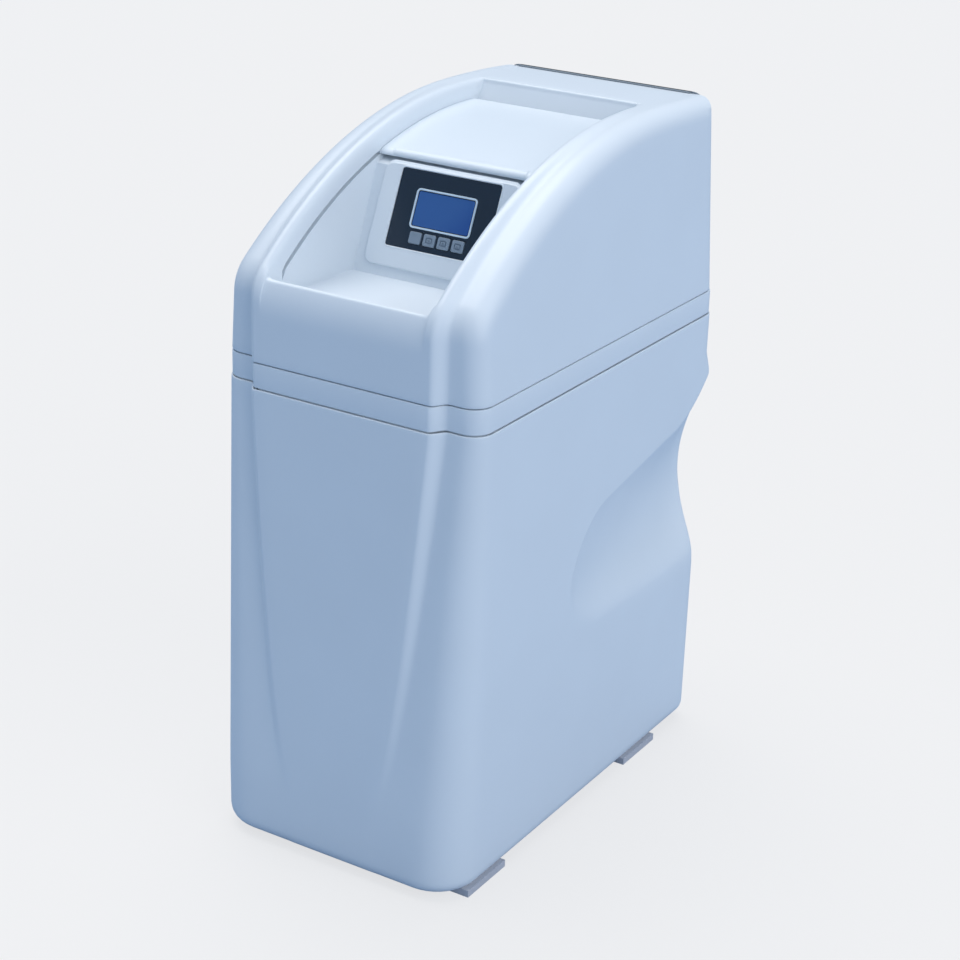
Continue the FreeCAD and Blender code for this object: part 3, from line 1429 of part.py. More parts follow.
# Flow meter: a turbine between two spiders in the outlet port
turbine_y = vessel_y + at.turbine_from_vessel
meter_x = -at.port_half_pitch
spiders = []
for number, y in enumerate((turbine_y - at.cage_thickness - 1, turbine_y + at.turbine_length + 1), start=1):
    rim = tube(f"cage_rim_{number}", at.port_bore, at.port_bore - 1, at.cage_thickness, meter_x, y, port_z,
               **ALONG_Y)
    hub = cylinder(f"cage_hub_{number}", 3, at.cage_thickness, meter_x, y, port_z, **ALONG_Y)
    bar = box(f"cage_bar_{number}", at.port_bore * 2 - 1, at.cage_thickness, 1.6,
              meter_x - at.port_bore + 0.5, y, port_z - 0.8)
    post = box(f"cage_post_{number}", 1.6, at.cage_thickness, at.port_bore * 2 - 1, meter_x - 0.8, y,
               port_z - at.port_bore + 0.5)
    hole = cylinder(f"cage_hole_{number}", at.turbine_spindle + at.running_gap, at.cage_thickness + 2,
                    meter_x, y - 1, port_z, **ALONG_Y)
    spiders.append(cut(f"spider_{number}", fuse(f"spider_solid_{number}", rim, hub, bar, post), hole))
keep(fuse("turbine_cage_pair", *spiders), "turbine_cage")
turbine_pieces = [
    cylinder("turbine_hub", 3, at.turbine_length, meter_x, turbine_y, port_z, **ALONG_Y),
    cylinder("turbine_pin", at.turbine_spindle, at.turbine_length + at.cage_thickness * 2 + 2, meter_x,
             turbine_y - at.cage_thickness - 1, port_z, **ALONG_Y),
]
blade = Part.makeBox(float(at.turbine_radius - 2), float(at.turbine_length - 1), float(at.blade_thickness),
                     Vector(2, 0.5, -at.blade_thickness / 2))
pitch_turn = Placement(Vector(0, 0, 0), Rotation(Vector(1, 0, 0), 28), Vector(0, at.turbine_length / 2, 0))
for number in range(6):
    piece = shaped(f"blade_{number}", blade)
    hub_turn = Placement(Vector(meter_x, turbine_y, port_z), Rotation(Vector(0, 1, 0), 60 * number))
    piece.Placement = hub_turn.multiply(pitch_turn)
    turbine_pieces.append(piece)
keep(fuse("turbine", *turbine_pieces), "meter_turbine")

# Brine well with cap, pick-up tube and float
well_outside = cylinder("well_outside", at.well_radius, well_top - floor_top, well_x, well_y, floor_top)
well_space = cylinder("well_space", at.well_radius - at.well_wall, well_top, well_x, well_y,
                      floor_top + at.well_wall)
well_slot = box("well_slot", at.well_radius * 2 + 4, 3, 22, well_x - at.well_radius - 2, well_y - 1.5,
                floor_top + 10)
keep(cut("well", well_outside, well_space, well_slot), "brine_well")
keep(
    turned(
        "cap",
        [
            (at.hose_radius + 0.2, 0), (at.well_radius, 0), (at.well_radius, -at.cap_skirt),
            (at.well_radius + 2.4, -at.cap_skirt), (at.well_radius + 2.4, at.cap_thickness),
            (at.hose_radius + 0.2, at.cap_thickness),
        ],
        well_x, well_y, well_top,
    ),
    "well_cap",
)
pick_up_foot = floor_top + at.well_wall
pick_up_top = well_top - 12
float_low = at.float_rest
float_high = float_low + at.float_height + at.float_travel
stop_gap = at.running_gap
keep(
    turned(
        "pick_up",
        [
            (at.hose_radius, 0),
            (at.pick_up_foot_radius, 0),
            (at.pick_up_foot_radius, at.pick_up_foot_height),
            (at.pick_up_radius, at.pick_up_foot_height + 6),
            (at.pick_up_radius, float_low - pick_up_foot - at.stop_height),
            (at.stop_radius, float_low - pick_up_foot - at.stop_height),
            (at.stop_radius, float_low - pick_up_foot),
            (at.pick_up_radius, float_low - pick_up_foot),
            (at.pick_up_radius, float_high - pick_up_foot + 0.5),
            (at.stop_radius, float_high - pick_up_foot + 0.5),
            (at.stop_radius, float_high - pick_up_foot + 0.5 + at.stop_height),
            (at.pick_up_radius, float_high - pick_up_foot + 0.5 + at.stop_height),
            (at.pick_up_radius, pick_up_top - pick_up_foot),
            (at.hose_radius, pick_up_top - pick_up_foot),
        ],
        well_x, well_y, pick_up_foot,
    ),
    "brine_valve",
)
keep(
    turned(
        "float_ball",
        [
            (at.pick_up_radius + stop_gap, 0),
            (at.float_radius - 5, 0),
            (at.float_radius, 5),
            (at.float_radius, at.float_height - 5),
            (at.float_radius - 5, at.float_height),
            (at.pick_up_radius + stop_gap, at.float_height),
        ],
        well_x, well_y, float_low,
    ),
    "float",
)


def hose_shape(points, radius):
    """A hose along straight runs joined by tangent arcs, each as large as its two runs allow."""
    path = []
    here = points[0]
    for before, corner, after in zip(points, points[1:], points[2:]):
        into = (corner - before).normalize()
        out = (after - corner).normalize()
        half_turn = math.acos(max(-1.0, min(1.0, into.dot(out)))) / 2
        setback = 0.45 * min((corner - before).Length, (after - corner).Length)
        bend = setback / math.tan(half_turn)
        start = corner - into * setback
        end = corner + out * setback
        bisector = (out - into).normalize()
        middle = corner + bisector * (bend / math.cos(half_turn) - bend)
        path += [Part.makeLine(here, start), Part.Arc(start, middle, end).toShape()]
        here = end
        print("brine line bend radius", round(bend, 1))
    path.append(Part.makeLine(here, points[-1]))
    wire = Part.Wire(path)
    first_run = (points[1] - points[0]).normalize()
    section = Part.Wire([Part.makeCircle(radius, points[0], first_run)])
    return wire.makePipeShell([section], True, False), wire.Length


# Brine line from the valve to the pick-up tube
well_top_point = Vector(well_x, well_y, well_top - 20)
line_points = [
    Vector(0, brine_start - 5, side_z),
    Vector(0, brine_start - 42, side_z),
    Vector(well_x * 0.26, brine_start - 86, side_z + 3),
    Vector(well_x * 0.70, well_y + 54, side_z + 4),
    Vector(well_x, well_y, side_z + 7),
    well_top_point,
]
hose, hose_length = hose_shape(line_points, float(at.hose_radius - 0.05))
print("brine line length", round(hose_length, 1), "volume ratio",
      round(hose.Volume / (math.pi * (at.hose_radius - 0.05) ** 2 * hose_length), 4))
keep(shaped("brine_hose", hose), "brine_line")

# Salt grid on four legs, with a hole for the brine well
vessel_front = vessel_y - at.vessel_radius
grid_half = half_width - at.casing_wall - at.grid_clearance
grid_front = -half_depth + at.casing_wall + at.grid_clearance + 12
grid_back = vessel_front - at.grid_clearance - 6
grid_body = padded(
    "grid_plate",
    [(-grid_half, grid_front), (grid_half, grid_front), (grid_half, grid_back), (-grid_half, grid_back)],
    at.grid_thickness, "XY_Plane", at.grid_height,
    [(at.well_radius + 0.5, well_x, well_y)],
)
rounded(
    grid_body, "grid_round", at.foot_corner,
    lambda edge: upright(edge) and edge.Vertexes[0].Y < 0.5 * (grid_front + grid_back) and edge.Length < 10
    and abs(edge.Vertexes[0].X) > 0.9 * grid_half,
)
holes = []
columns = int((grid_half * 2 - 70) // at.grid_pitch)
rows = int((grid_back - grid_front - 50) // at.grid_pitch)
for column in range(columns):
    for row in range(rows):
        x = (column - (columns - 1) / 2) * at.grid_pitch
        y = (grid_front + grid_back) / 2 + (row - (rows - 1) / 2) * at.grid_pitch
        clear = math.hypot(x - well_x, y - well_y) > at.well_radius + at.grid_hole_radius + 4
        leg_clear = all(
            math.hypot(abs(x) - leg_x, y - leg_y) > at.grid_leg_radius + at.grid_hole_radius + 1
            for leg_x, leg_y in ((grid_half - 30, grid_front + 62), (grid_half - 30, grid_back - 16))
        )
        if clear and leg_clear:
            holes.append(Part.makeCylinder(float(at.grid_hole_radius), float(at.grid_thickness + 2),
                                           Vector(x, y, at.grid_height - 1)))
grid_holes = shaped("grid_holes", Part.makeCompound(holes))
grid_legs = []
for x, y in ((-1, grid_front + 62), (-1, grid_back - 16), (1, grid_back - 16)):
    grid_legs.append(cylinder("grid_leg", at.grid_leg_radius, at.grid_height - floor_top + 1,
                              x * (grid_half - 30), y, floor_top))
keep(fuse("grid", cut("grid_holed", grid_body, grid_holes), *grid_legs), "salt_grid")

# Overflow outlet through the pocket's floor, with a seal outside and a nut inside
elbow_flange = at.overflow_radius + 4
flange_y = pocket_floor + at.seal_thickness
thread_y = flange_y - at.overflow_thread
overflow_form = turned(
    "overflow_form",
    [
        (at.spigot_bore, 0), (at.overflow_radius, 0), (at.overflow_radius, at.overflow_thread),
        (elbow_flange, at.overflow_thread), (elbow_flange, at.overflow_thread + at.overflow_flange),
        (at.spigot_radius, at.overflow_thread + at.overflow_flange), (at.spigot_radius,
        foremost - thread_y - 1),
        (at.spigot_radius - 1, foremost - thread_y), (at.spigot_bore, foremost - thread_y),
    ],
    overflow_x, thread_y, overflow_z, **ALONG_Y,
)
keep(overflow_form, "overflow_outlet")
keep(
    tube("overflow_ring", elbow_flange, at.overflow_radius, at.seal_thickness, overflow_x, pocket_floor,
         overflow_z, **ALONG_Y),
    "overflow_seal",
)
nut_y = pocket_floor - at.casing_wall - at.nut_overlap
overflow_hexagon = doc.addObject("Part::Prism", "overflow_hexagon")
overflow_hexagon.Polygon = 6
bind(overflow_hexagon, "Circumradius", at.overflow_radius + 6)
bind(overflow_hexagon, "Height", at.nut_overlap)
place(overflow_hexagon, overflow_x, nut_y, overflow_z, **ALONG_Y)
overflow_room = cylinder("overflow_room", at.overflow_radius, at.nut_overlap + 2, overflow_x, nut_y - 1,
                         overflow_z, **ALONG_Y)
keep(cut("overflow_nut_solid", overflow_hexagon, overflow_room), "overflow_nut")

# Check every object, then write each sub-part
doc.recompute()
for piece in doc.Objects:
    if "Invalid" in piece.State or "Error" in piece.State:
        raise RuntimeError(f"{piece.Label} did not build: {piece.State}")
for label, piece in kept.items():
    shape = piece.Shape
    if shape.isNull() or not shape.isValid() or shape.Volume <= 0:
        raise RuntimeError(f"{label} has no valid solid")
    shape.exportStep(f"parts/{label}.step")
print(len(kept), "sub-parts written")
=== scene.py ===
# Iron removal filter: the cabinet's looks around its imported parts.
import json
import math

import bmesh
import bpy
import numpy as np
from mathutils import Matrix, Vector

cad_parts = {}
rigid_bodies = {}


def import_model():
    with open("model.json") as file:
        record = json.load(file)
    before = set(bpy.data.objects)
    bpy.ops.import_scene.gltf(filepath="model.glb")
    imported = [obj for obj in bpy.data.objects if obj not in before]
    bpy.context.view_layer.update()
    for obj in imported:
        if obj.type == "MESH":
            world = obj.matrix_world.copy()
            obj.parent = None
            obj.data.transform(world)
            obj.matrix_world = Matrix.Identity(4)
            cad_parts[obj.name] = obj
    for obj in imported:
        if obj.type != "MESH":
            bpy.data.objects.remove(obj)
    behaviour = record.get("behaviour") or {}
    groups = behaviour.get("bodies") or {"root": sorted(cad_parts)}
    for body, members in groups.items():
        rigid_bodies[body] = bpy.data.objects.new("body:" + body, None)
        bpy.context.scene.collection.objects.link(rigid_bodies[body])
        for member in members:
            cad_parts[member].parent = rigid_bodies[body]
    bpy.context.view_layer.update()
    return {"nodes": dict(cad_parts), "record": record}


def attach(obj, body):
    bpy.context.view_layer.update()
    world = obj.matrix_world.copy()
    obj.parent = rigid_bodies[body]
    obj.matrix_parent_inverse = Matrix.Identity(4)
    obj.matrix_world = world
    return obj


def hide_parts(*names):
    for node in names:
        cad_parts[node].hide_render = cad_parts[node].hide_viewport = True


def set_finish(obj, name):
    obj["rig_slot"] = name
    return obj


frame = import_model()
nodes = frame["nodes"]
record = frame["record"]
print("stage: frame loaded")

millimetre = 0.001
quarterTurn = math.pi / 2
mirror = np.array([-1.0, 1.0, 1.0])
outOfWall = (0, -1, 0.4)  # roughly the way that the display wall faces


def tan(degrees):
    return math.tan(math.radians(degrees))


def spread(start, end, count):
    return np.linspace(start, end, count)


def between(start, end, share):
    return start + (end - start) * share


def quarterArc(count, first=0):
    # Steps round a quarter circle: one minus the cosine and one minus the sine of each angle
    turn = spread(0, quarterTurn, count)[first:]
    return list(zip(1 - np.cos(turn), 1 - np.sin(turn)))


def joined(*parts):
    # Runs of numbers in one row, each run's first number dropped where it repeats the last one
    row = list(np.atleast_1d(parts[0]))
    for part in parts[1:]:
        values = list(np.atleast_1d(part))
        row += values[1:] if abs(values[0] - row[-1]) < 1e-9 else values
    return np.array(row, float)


def smooth(share):
    t = np.clip(share, 0.0, 1.0)
    return t * t * (3.0 - 2.0 * t)


def grid(x, y, z):
    return np.stack(np.broadcast_arrays(x, y, z), axis=-1).astype(float)


def bothSides(points, keep=None):
    return [(points, keep, False), (points * mirror, keep, False)]


def buildMesh(name, patches, caps=(), sharp=32.0, merge=0.012, outward=None):
    # patches: (points, keep mask of quads or None, wraps round or False); caps: closed loops of points
    vertices, faces, start = [], [], 0
    for points, keep, wraps in patches:
        rows, columns = points.shape[:2]
        index = start + np.arange(rows * columns).reshape(rows, columns)
        if wraps:
            index = np.concatenate([index, index[:, :1]], axis=1)
        quads = np.stack([index[:-1, :-1], index[:-1, 1:], index[1:, 1:], index[1:, :-1]], axis=-1)
        quads = quads[keep] if keep is not None else quads.reshape(-1, 4)
        vertices.append(points.reshape(-1, 3))
        faces += quads.reshape(-1, 4).tolist()
        start += rows * columns
    for loop in caps:
        vertices.append(loop)
        faces.append(list(range(start, start + len(loop))))
        start += len(loop)
    mesh = bpy.data.meshes.new(name)
    mesh.from_pydata((np.concatenate(vertices) * millimetre).tolist(), [], faces)
    shape = bmesh.new()
    shape.from_mesh(mesh)
    bmesh.ops.remove_doubles(shape, verts=shape.verts, dist=merge * millimetre)
    bmesh.ops.dissolve_degenerate(shape, edges=shape.edges, dist=merge * millimetre / 3)
    loose = [v for v in shape.verts if not v.link_faces]
    bmesh.ops.delete(shape, geom=loose, context="VERTS")
    bmesh.ops.recalc_face_normals(shape, faces=shape.faces)
    if outward is not None:
        way = Vector(outward)
        farthest = max(shape.faces, key=lambda face: face.calc_center_median().dot(way))
        if farthest.normal.dot(way) < 0:
            bmesh.ops.reverse_faces(shape, faces=shape.faces)
    shape.to_mesh(mesh)
    shape.free()
    mesh.shade_smooth()
    mesh.set_sharp_from_angle(angle=math.radians(sharp))
    thing = bpy.data.objects.new(name, mesh)
    bpy.context.scene.collection.objects.link(thing)
    return thing


def thicken(thing, wall):
    shell = thing.modifiers.new("wall", "SOLIDIFY")
    shell.thickness = wall * millimetre
    shell.offset = -1.0


def soften(thing, width, segments, angle=40.0):
    edge = thing.modifiers.new("edge", "BEVEL")
    edge.width = width * millimetre
    edge.segments = segments
    edge.limit_method = "ANGLE"
    edge.angle_limit = math.radians(angle)
    edge.harden_normals = True


# Plan of the cabinet, in millimetres; the front looks towards -Y
plan = {
    "halfWidth": 135.0, "halfDepth": 225.0, "lean": 12.5, "top": 447.6, "setback": 13.0,
    "panelHalf": 97.0, "footHalf": 38.0, "footHeight": 60.0, "footFade": 0.02, "stepRun": 6.6,
    "corner": 20.0, "footCorner": 45.0, "backCorner": 20.0, "leastCorner": 2.0, "sideBreak": -62.0,
}


def planPlaces(z):
    # Front, pillar, panel half width and corner radius at each height. The panel's half width grows with the
    # square root of the height above its foot, and the foot fades out instead of ending in a point.
    rise = np.minimum(z, plan["top"]) / plan["top"]
    raw = (np.minimum(z, plan["top"]) - plan["footHeight"]) / (plan["top"] - plan["footHeight"])
    fade = np.maximum(raw, 0.0) + plan["footFade"] * np.exp(-np.maximum(raw, 0.0) / plan["footFade"])
    half = between(plan["footHalf"], plan["panelHalf"], np.sqrt(fade))
    front = -(plan["halfDepth"] + plan["lean"] * (1 - rise))
    corner = between(plan["corner"], plan["footCorner"], 1 - rise)
    return front, front + plan["setback"] * fade, half, corner, fade


def stepShape(t):
    # Two parabolas end to end, level at both ends
    return np.where(t < 0.5, 2 * t ** 2, 1 - 2 * (1 - t) ** 2)


def planHalf(z, inset, trim, counts, rearCorner=None):
    # Right half of the outline at each height, from the middle of the front round to the middle of the back:
    # sunk panel, step, pillar, quarter round, side in two runs, quarter round, back
    z, inset, trim = (np.broadcast_to(np.reshape(value, (-1, 1)), (len(z), 1)) for value in (z, inset, trim))
    front, pillar, half, corner, fade = planPlaces(z)
    front, pillar, half = front + inset, pillar + inset, half - inset * fade
    side, back = plan["halfWidth"] - inset, plan["halfDepth"] - inset - trim
    corner = np.maximum(plan["leastCorner"], corner - inset)
    rear = rearCorner(z, inset) if rearCorner else np.maximum(plan["leastCorner"], plan["backCorner"] - inset)
    run, middle = plan["stepRun"], plan["sideBreak"]
    t = [spread(0, 1, count)[None, min(number, 1):] for number, count in enumerate(counts)]
    turn = [share * quarterTurn for share in t]
    xs = [t[0] * (half - run), between(half - run, half + run, t[1]),
          between(half + run, side - corner, t[2]), side - corner + corner * np.sin(turn[3]),
          side + 0 * t[4], side + 0 * t[5],
          side - rear * (1 - np.cos(turn[6])), (side - rear) * (1 - t[7])]
    ys = [front + 0 * t[0], between(front, pillar, stepShape(t[1])), pillar + 0 * t[2],
          pillar + corner * (1 - np.cos(turn[3])), between(pillar + corner, middle, t[4]),
          between(middle, back - rear, t[5]), back - rear * (1 - np.sin(turn[6])), back + 0 * t[7]]
    return np.concatenate(xs, axis=1), np.concatenate(ys, axis=1)


# Casing: the outline lofted up its height, hollowed at each rear side by the scoop
casing = {
    "foot": 5.0, "footRound": 15.0, "rim": 447.1, "rimRound": 0.9, "wall": 4.0, "tightCorner": 8.0,
    "counts": (9, 11, 5, 10, 8, 84, 9, 25),
    "rowHeights": joined(spread(20, 190, 16), spread(190, 322, 50), [324, 326, 327.5, 328.6, 329.4, 330],
                         [330.6, 331.4, 332.5, 334], spread(334, 440, 30), [443]),
    "edgeRow": 330.0, "bend": (190.0, 440.0), "bendRun": (140.0, 110.0),
}
scoop = {
    "front": -42.0, "nose": 60.0, "noseHeight": 243.0, "top": 305.0, "climb": 0.19, "lift": 0.006,
    "liftFrom": 150.75, "below": 51.0, "droop": 0.05, "depth": 28.0, "reach": 267.0, "deepen": 0.8,
    "edgeRound": 1.6, "flat": 6.0, "ease": 1.6, "cornerAt": 215.0, "cornerDeep": 20.0, "leastNose": 3.0,
}
pocket = {
    "x": -74.0, "z": 408.0, "radius": 24.0, "floor": 208.0, "hole": 9.2, "window": 31.0, "round": 1.0,
    "roundFrom": 0.3, "straight": 8.0, "floorRound": 1.5, "taper": 0.3, "land": 6.0,
}


def scoopTop(y):
    # Upper edge of the scoop: an elliptical nose, then a climbing line that turns up near the back
    run = np.clip(y - scoop["front"], 0.0, None)
    share = np.clip(run / scoop["nose"], 0.0, 1.0)
    swell = np.sqrt(np.clip(1 - (1 - share) ** 2, 0.0, 1.0))
    lift = scoop["lift"] * np.clip(y - scoop["liftFrom"], 0, None) ** 2
    high = scoop["top"] + scoop["climb"] * run + lift
    return between(scoop["noseHeight"], high, swell), swell


def scoopDepth(y, z):
    # A half wave down the wall, abrupt at its upper edge and easing out at its foot, deeper towards the back
    top, swell = scoopTop(y)
    low = scoop["noseHeight"] - (scoop["below"] + scoop["droop"] * y) * swell
    run = np.clip(y - scoop["front"], 0.0, None)
    along = np.minimum(1.0, run / scoop["reach"])
    deep = scoop["depth"] * np.sin(quarterTurn * along ** scoop["deepen"])
    tall = np.maximum(top - low, 1.0)
    soft = scoop["edgeRound"] / tall
    fall = (top - z) / tall
    eased = (fall + np.sqrt(fall ** 2 + soft ** 2)) / 2
    eased = np.where(fall < -scoop["flat"] * soft, 0.0, np.clip(eased, 0.0, 1.0))
    return deep * np.sin(math.pi * eased) ** (1.0 + np.maximum(0.0, eased - 0.5) * scoop["ease"])


def casingRearCorner(z, inset):
    tight = np.clip(scoopDepth(scoop["cornerAt"], z) / scoop["cornerDeep"], 0.0, 1.0)
    return np.maximum(plan["leastCorner"], between(plan["backCorner"], casing["tightCorner"], tight) - inset)


def casingSurface():
    # A row for each height: the outline there, less the scoop's depth across the side. The side rows bend so
    # that one of them runs along the scoop's upper edge; the front rows stay level.
    counts = casing["counts"]
    footRound, rimRound = np.array(quarterArc(9)[:-1]).T, np.array(quarterArc(5)).T
    z = np.concatenate([casing["foot"] + casing["footRound"] * footRound[0], casing["rowHeights"],
                        casing["rim"] - casing["rimRound"] * rimRound[1]])
    inset = np.concatenate([casing["footRound"] * footRound[1], 0 * casing["rowHeights"],
                            casing["rimRound"] * rimRound[0]])
    x, y = planHalf(z, inset, 0.0, counts, casingRearCorner)
    line, _ = scoopTop(np.maximum(y, scoop["front"] + scoop["leastNose"]))
    (low, high), (rise, fall) = casing["bend"], casing["bendRun"]
    pull = np.clip((z - low) / rise, 0, 1) * np.clip((high - z) / fall, 0, 1)
    column = np.arange(x.shape[1])
    frontEnd, backStart = sum(counts[:4]) - 4, sum(counts[:7]) - 7
    blendIn = np.clip((column - frontEnd) / (counts[4] - 1.0), 0, 1)
    height = z[:, None] + pull[:, None] * (line - casing["edgeRow"]) * blendIn
    hollow = scoopDepth(np.clip(y, scoop["front"], plan["halfDepth"]), height) * (y > scoop["front"])
    share = np.clip((column[-1] - column) / (column[-1] - backStart), 0, 1)
    return x - hollow * share, y, height, backStart


def casingPiece():
    x, y, height, backStart = casingSurface()
    rightHalf = grid(x, y, height)
    leftHalf = rightHalf * mirror
    # The overflow's pocket takes the place of some quads in the left half of the back: rings from the hole's
    # square edge to a circle, round the lip, down the wall and over the floor to the pipe's hole
    window = (-pocket["window"], pocket["window"])
    low, high = (int(np.argmin(abs(height[:, -1] - pocket["z"] - way))) for way in window)
    backX = -x[low, backStart:]
    left, right = (backStart + int(np.argmin(abs(backX - pocket["x"] - way))) for way in window)
    keep = np.ones((x.shape[0] - 1, x.shape[1] - 1), bool)
    keep[low:high, left:right] = False
    edge = np.concatenate([leftHalf[low, left:right], leftHalf[low:high, right],
                           leftHalf[high, right:left:-1], leftHalf[high:low:-1, left]])
    angle = np.arctan2(edge[:, 2] - pocket["z"], edge[:, 0] - pocket["x"])

    def ring(grow, depth):
        radius = pocket["radius"] + grow
        return grid(pocket["x"] + radius * np.cos(angle), depth, pocket["z"] + radius * np.sin(angle))

    back, floor, bend = plan["halfDepth"], pocket["floor"], pocket["round"]
    rows = [between(edge, ring(bend, back), share) for share in spread(0, 1, 5)]
    rows += [ring(bend * (1 - math.sin(a)), back - bend * (1 - math.cos(a)))
             for a in spread(pocket["roundFrom"], quarterTurn, 4)]
    rows += [ring(0.0, back - pocket["straight"]), ring(-pocket["taper"], floor + pocket["floorRound"]),
             ring(-pocket["floorRound"], floor), ring(-pocket["land"], floor),
             ring(pocket["hole"] - pocket["radius"], floor)]
    floorLoop = np.concatenate([rightHalf[0], leftHalf[0, ::-1][1:-1]])
    patches = [(rightHalf, None, False), (leftHalf, keep, False), (np.array(rows), None, True)]
    piece = buildMesh("casingShell", patches, [floorLoop], outward=(1, 0, 0))
    thicken(piece, casing["wall"])
    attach(piece, "cabinet")
    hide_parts("tank_casing")
    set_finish(piece, "shell_white")


casingPiece()
print("stage: casing")

# Collar: one closed section carried round the outline, with a lip down into the casing and one into the hood
collar = {
    "low": 448.1, "high": 470.7, "face": 1.0, "round": 0.9, "inner": 9.0, "lipLow": 440.8, "lipHigh": 478.0,
    "lipFace": 4.3, "hoodLipFace": 5.25, "lipWall": 3.0, "hoodTrim": 2.0,
    "counts": (9, 11, 5, 10, 20, 40, 9, 12),
}


def collarPiece():
    # Section: distance in from the outline, height, and how much more is taken off the back
    low, high, face, bend = (collar[name] for name in ("low", "high", "face", "round"))
    section = [(face + bend * down, low + bend * along, 0.0) for along, down in quarterArc(5)]
    section += [(face + bend * along, high - bend * down, 0.0) for along, down in quarterArc(5)]
    out, wall, trim = collar["hoodLipFace"], collar["lipWall"], collar["hoodTrim"]
    section += [(out, high, trim), (out, collar["lipHigh"], trim), (out + wall, collar["lipHigh"], trim),
                (out + wall, high, trim), (collar["inner"], high, trim), (collar["inner"], low, 0.0)]
    out = collar["lipFace"]
    section += [(out + wall, low, 0.0), (out + wall, collar["lipLow"], 0.0), (out, collar["lipLow"], 0.0),
                (out, low, 0.0), section[0]]
    inset, height, trim = np.array(section).T
    x, y = planHalf(np.full(len(section), plan["top"]), inset, trim, collar["counts"])
    piece = buildMesh("collarBand", bothSides(grid(x, y, height[:, None])), outward=(1, 0, 0))
    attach(piece, "cabinet")
    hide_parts("collar")
    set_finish(piece, "shell_white")


collarPiece()
print("stage: collar")

# Hood: side outlines of the outer and the raised band, and the recess floor between the rails. Places on
# these outlines are (back, up) pairs.
hood = {
    "foot": 471.7, "footRound": 0.9, "front": -224.0, "setback": 13.0, "top": 662.5, "halfWidth": 134.0,
    "crownAxis": (87.0, 194.0), "crown": 468.5, "shoulder": 40.0,
    "sideDraft": 3.0, "backFoot": 222.0, "backDraft": 1.5,
    "edge": 19.0, "stepMiddle": 97.0, "stepRun": 6.6, "innerWall": 83.6, "innerRound": 14.0, "wall": 3.5,
    "collarTop": 471.2, "fall": 5.0, "deck": 443.0, "draft": 0.042, "fillet": (9.0, 1.6), "footEase": 15.0,
    "channelFoot": 116.0, "channelWall": 130.0, "channelRound": 3.0, "channelEase": 0.006,
    "channelFrom": -0.3, "channelClear": 2.0, "fallFrom": 3.0, "grooveStep": (0.02, 0.8),
    "groove": (451.1, 447.5), "grooveFlare": 0.8, "flareAt": 18.0, "grooveReach": 98.0, "grooveLeast": 23.0,
    "grooveAngles": (38.05, -3.6), "forehead": (-163.75, 514.0, 60.25, 30.0), "crestRound": 3.6,
    "crestUnder": -219.4, "lipOver": (-211.0, -208.6), "lipFoot": 6.0, "lipFade": 15.0,
    "shelf": (525.6, 524.6), "shelfBack": -90.0, "turning": (-207.0, -110.0),
    "display": (-78.6, 550.5), "tilt": 66.3, "wallFoot": -26.5, "displayHole": (1.7, 69.3),
    "displayHoleHalf": 50.3, "displayHoleEnd": 56.0, "mouth": (-30.0, 38.0), "mouthHalf": 68.0,
    "skirtFoot": 605.0, "windowTop": 637.0, "nearMiddle": (0.88, 0.66), "roundShare": 0.42,
    "plainWall": (0.3, 0.6),
}
crownAxis = np.array(hood["crownAxis"])
axisY, axisZ = hood["crownAxis"]
shoulderY = hood["front"] + hood["shoulder"]
shoulderZ = axisZ + math.sqrt((hood["crown"] - hood["shoulder"]) ** 2 - (axisY - shoulderY) ** 2)
# Behind this place the raised band's outline is the crown, before it the shoulder
junctionY = shoulderY - hood["shoulder"] * math.sin(math.atan2(axisY - shoulderY, shoulderZ - axisZ))
display = np.array(hood["display"])
alongWall = np.array([math.cos(math.radians(hood["tilt"])), math.sin(math.radians(hood["tilt"]))])
backSlope = tan(hood["backDraft"])
crownEnd = hood["top"] - hood["fall"]
backTop = hood["backFoot"] - (crownEnd - hood["collarTop"]) * backSlope


def wallTop():
    # How far up the display wall's line meets the deck's circle
    offset = display - crownAxis
    inner = offset @ alongWall
    return -inner + math.sqrt(inner ** 2 - (offset @ offset - hood["deck"] ** 2))


def fallingCrown(y, start):
    # Height and turn of the crown behind its highest line: a wide arc that falls to the back's upper edge
    radius = ((backTop - start) ** 2 + hood["fall"] ** 2) / (2 * hood["fall"])
    run = np.maximum(y - start, 0.0)
    return hood["top"] - radius + np.sqrt(radius ** 2 - run ** 2), run / radius


def outlineOver(y):
    # The raised band's outline over a place: on its shoulder or on the crown, with its outward direction
    (middleY, middleZ), radius = crownAxis, hood["crown"]
    if y < junctionY:
        (middleY, middleZ), radius = (shoulderY, shoulderZ), hood["shoulder"]
    run = (y - middleY) / radius
    rise = math.sqrt(1 - run ** 2)
    return (y, middleZ + radius * rise), (run, rise)


def towardsAxis(y, z):
    # How far forward of a place a line from the crown's axis through it meets the crown
    return y - axisY + hood["crown"] * math.sin(math.atan2(axisY - y, z - axisZ))


def footInset(z):
    # How far the outline is drawn in by the round along the foot
    low = np.clip((hood["foot"] + hood["footRound"] - z) / hood["footRound"], 0.0, 1.0)
    return hood["footRound"] * (1 - np.sqrt(1 - low ** 2))


def halfWidthAt(z):
    # The half width falls evenly with the height, less the round at the foot
    return hood["halfWidth"] - (z - hood["collarTop"]) * tan(hood["sideDraft"]) - footInset(z)


def backAt(z):
    # The back leans forward evenly with the height
    return hood["backFoot"] - (z - hood["collarTop"]) * backSlope


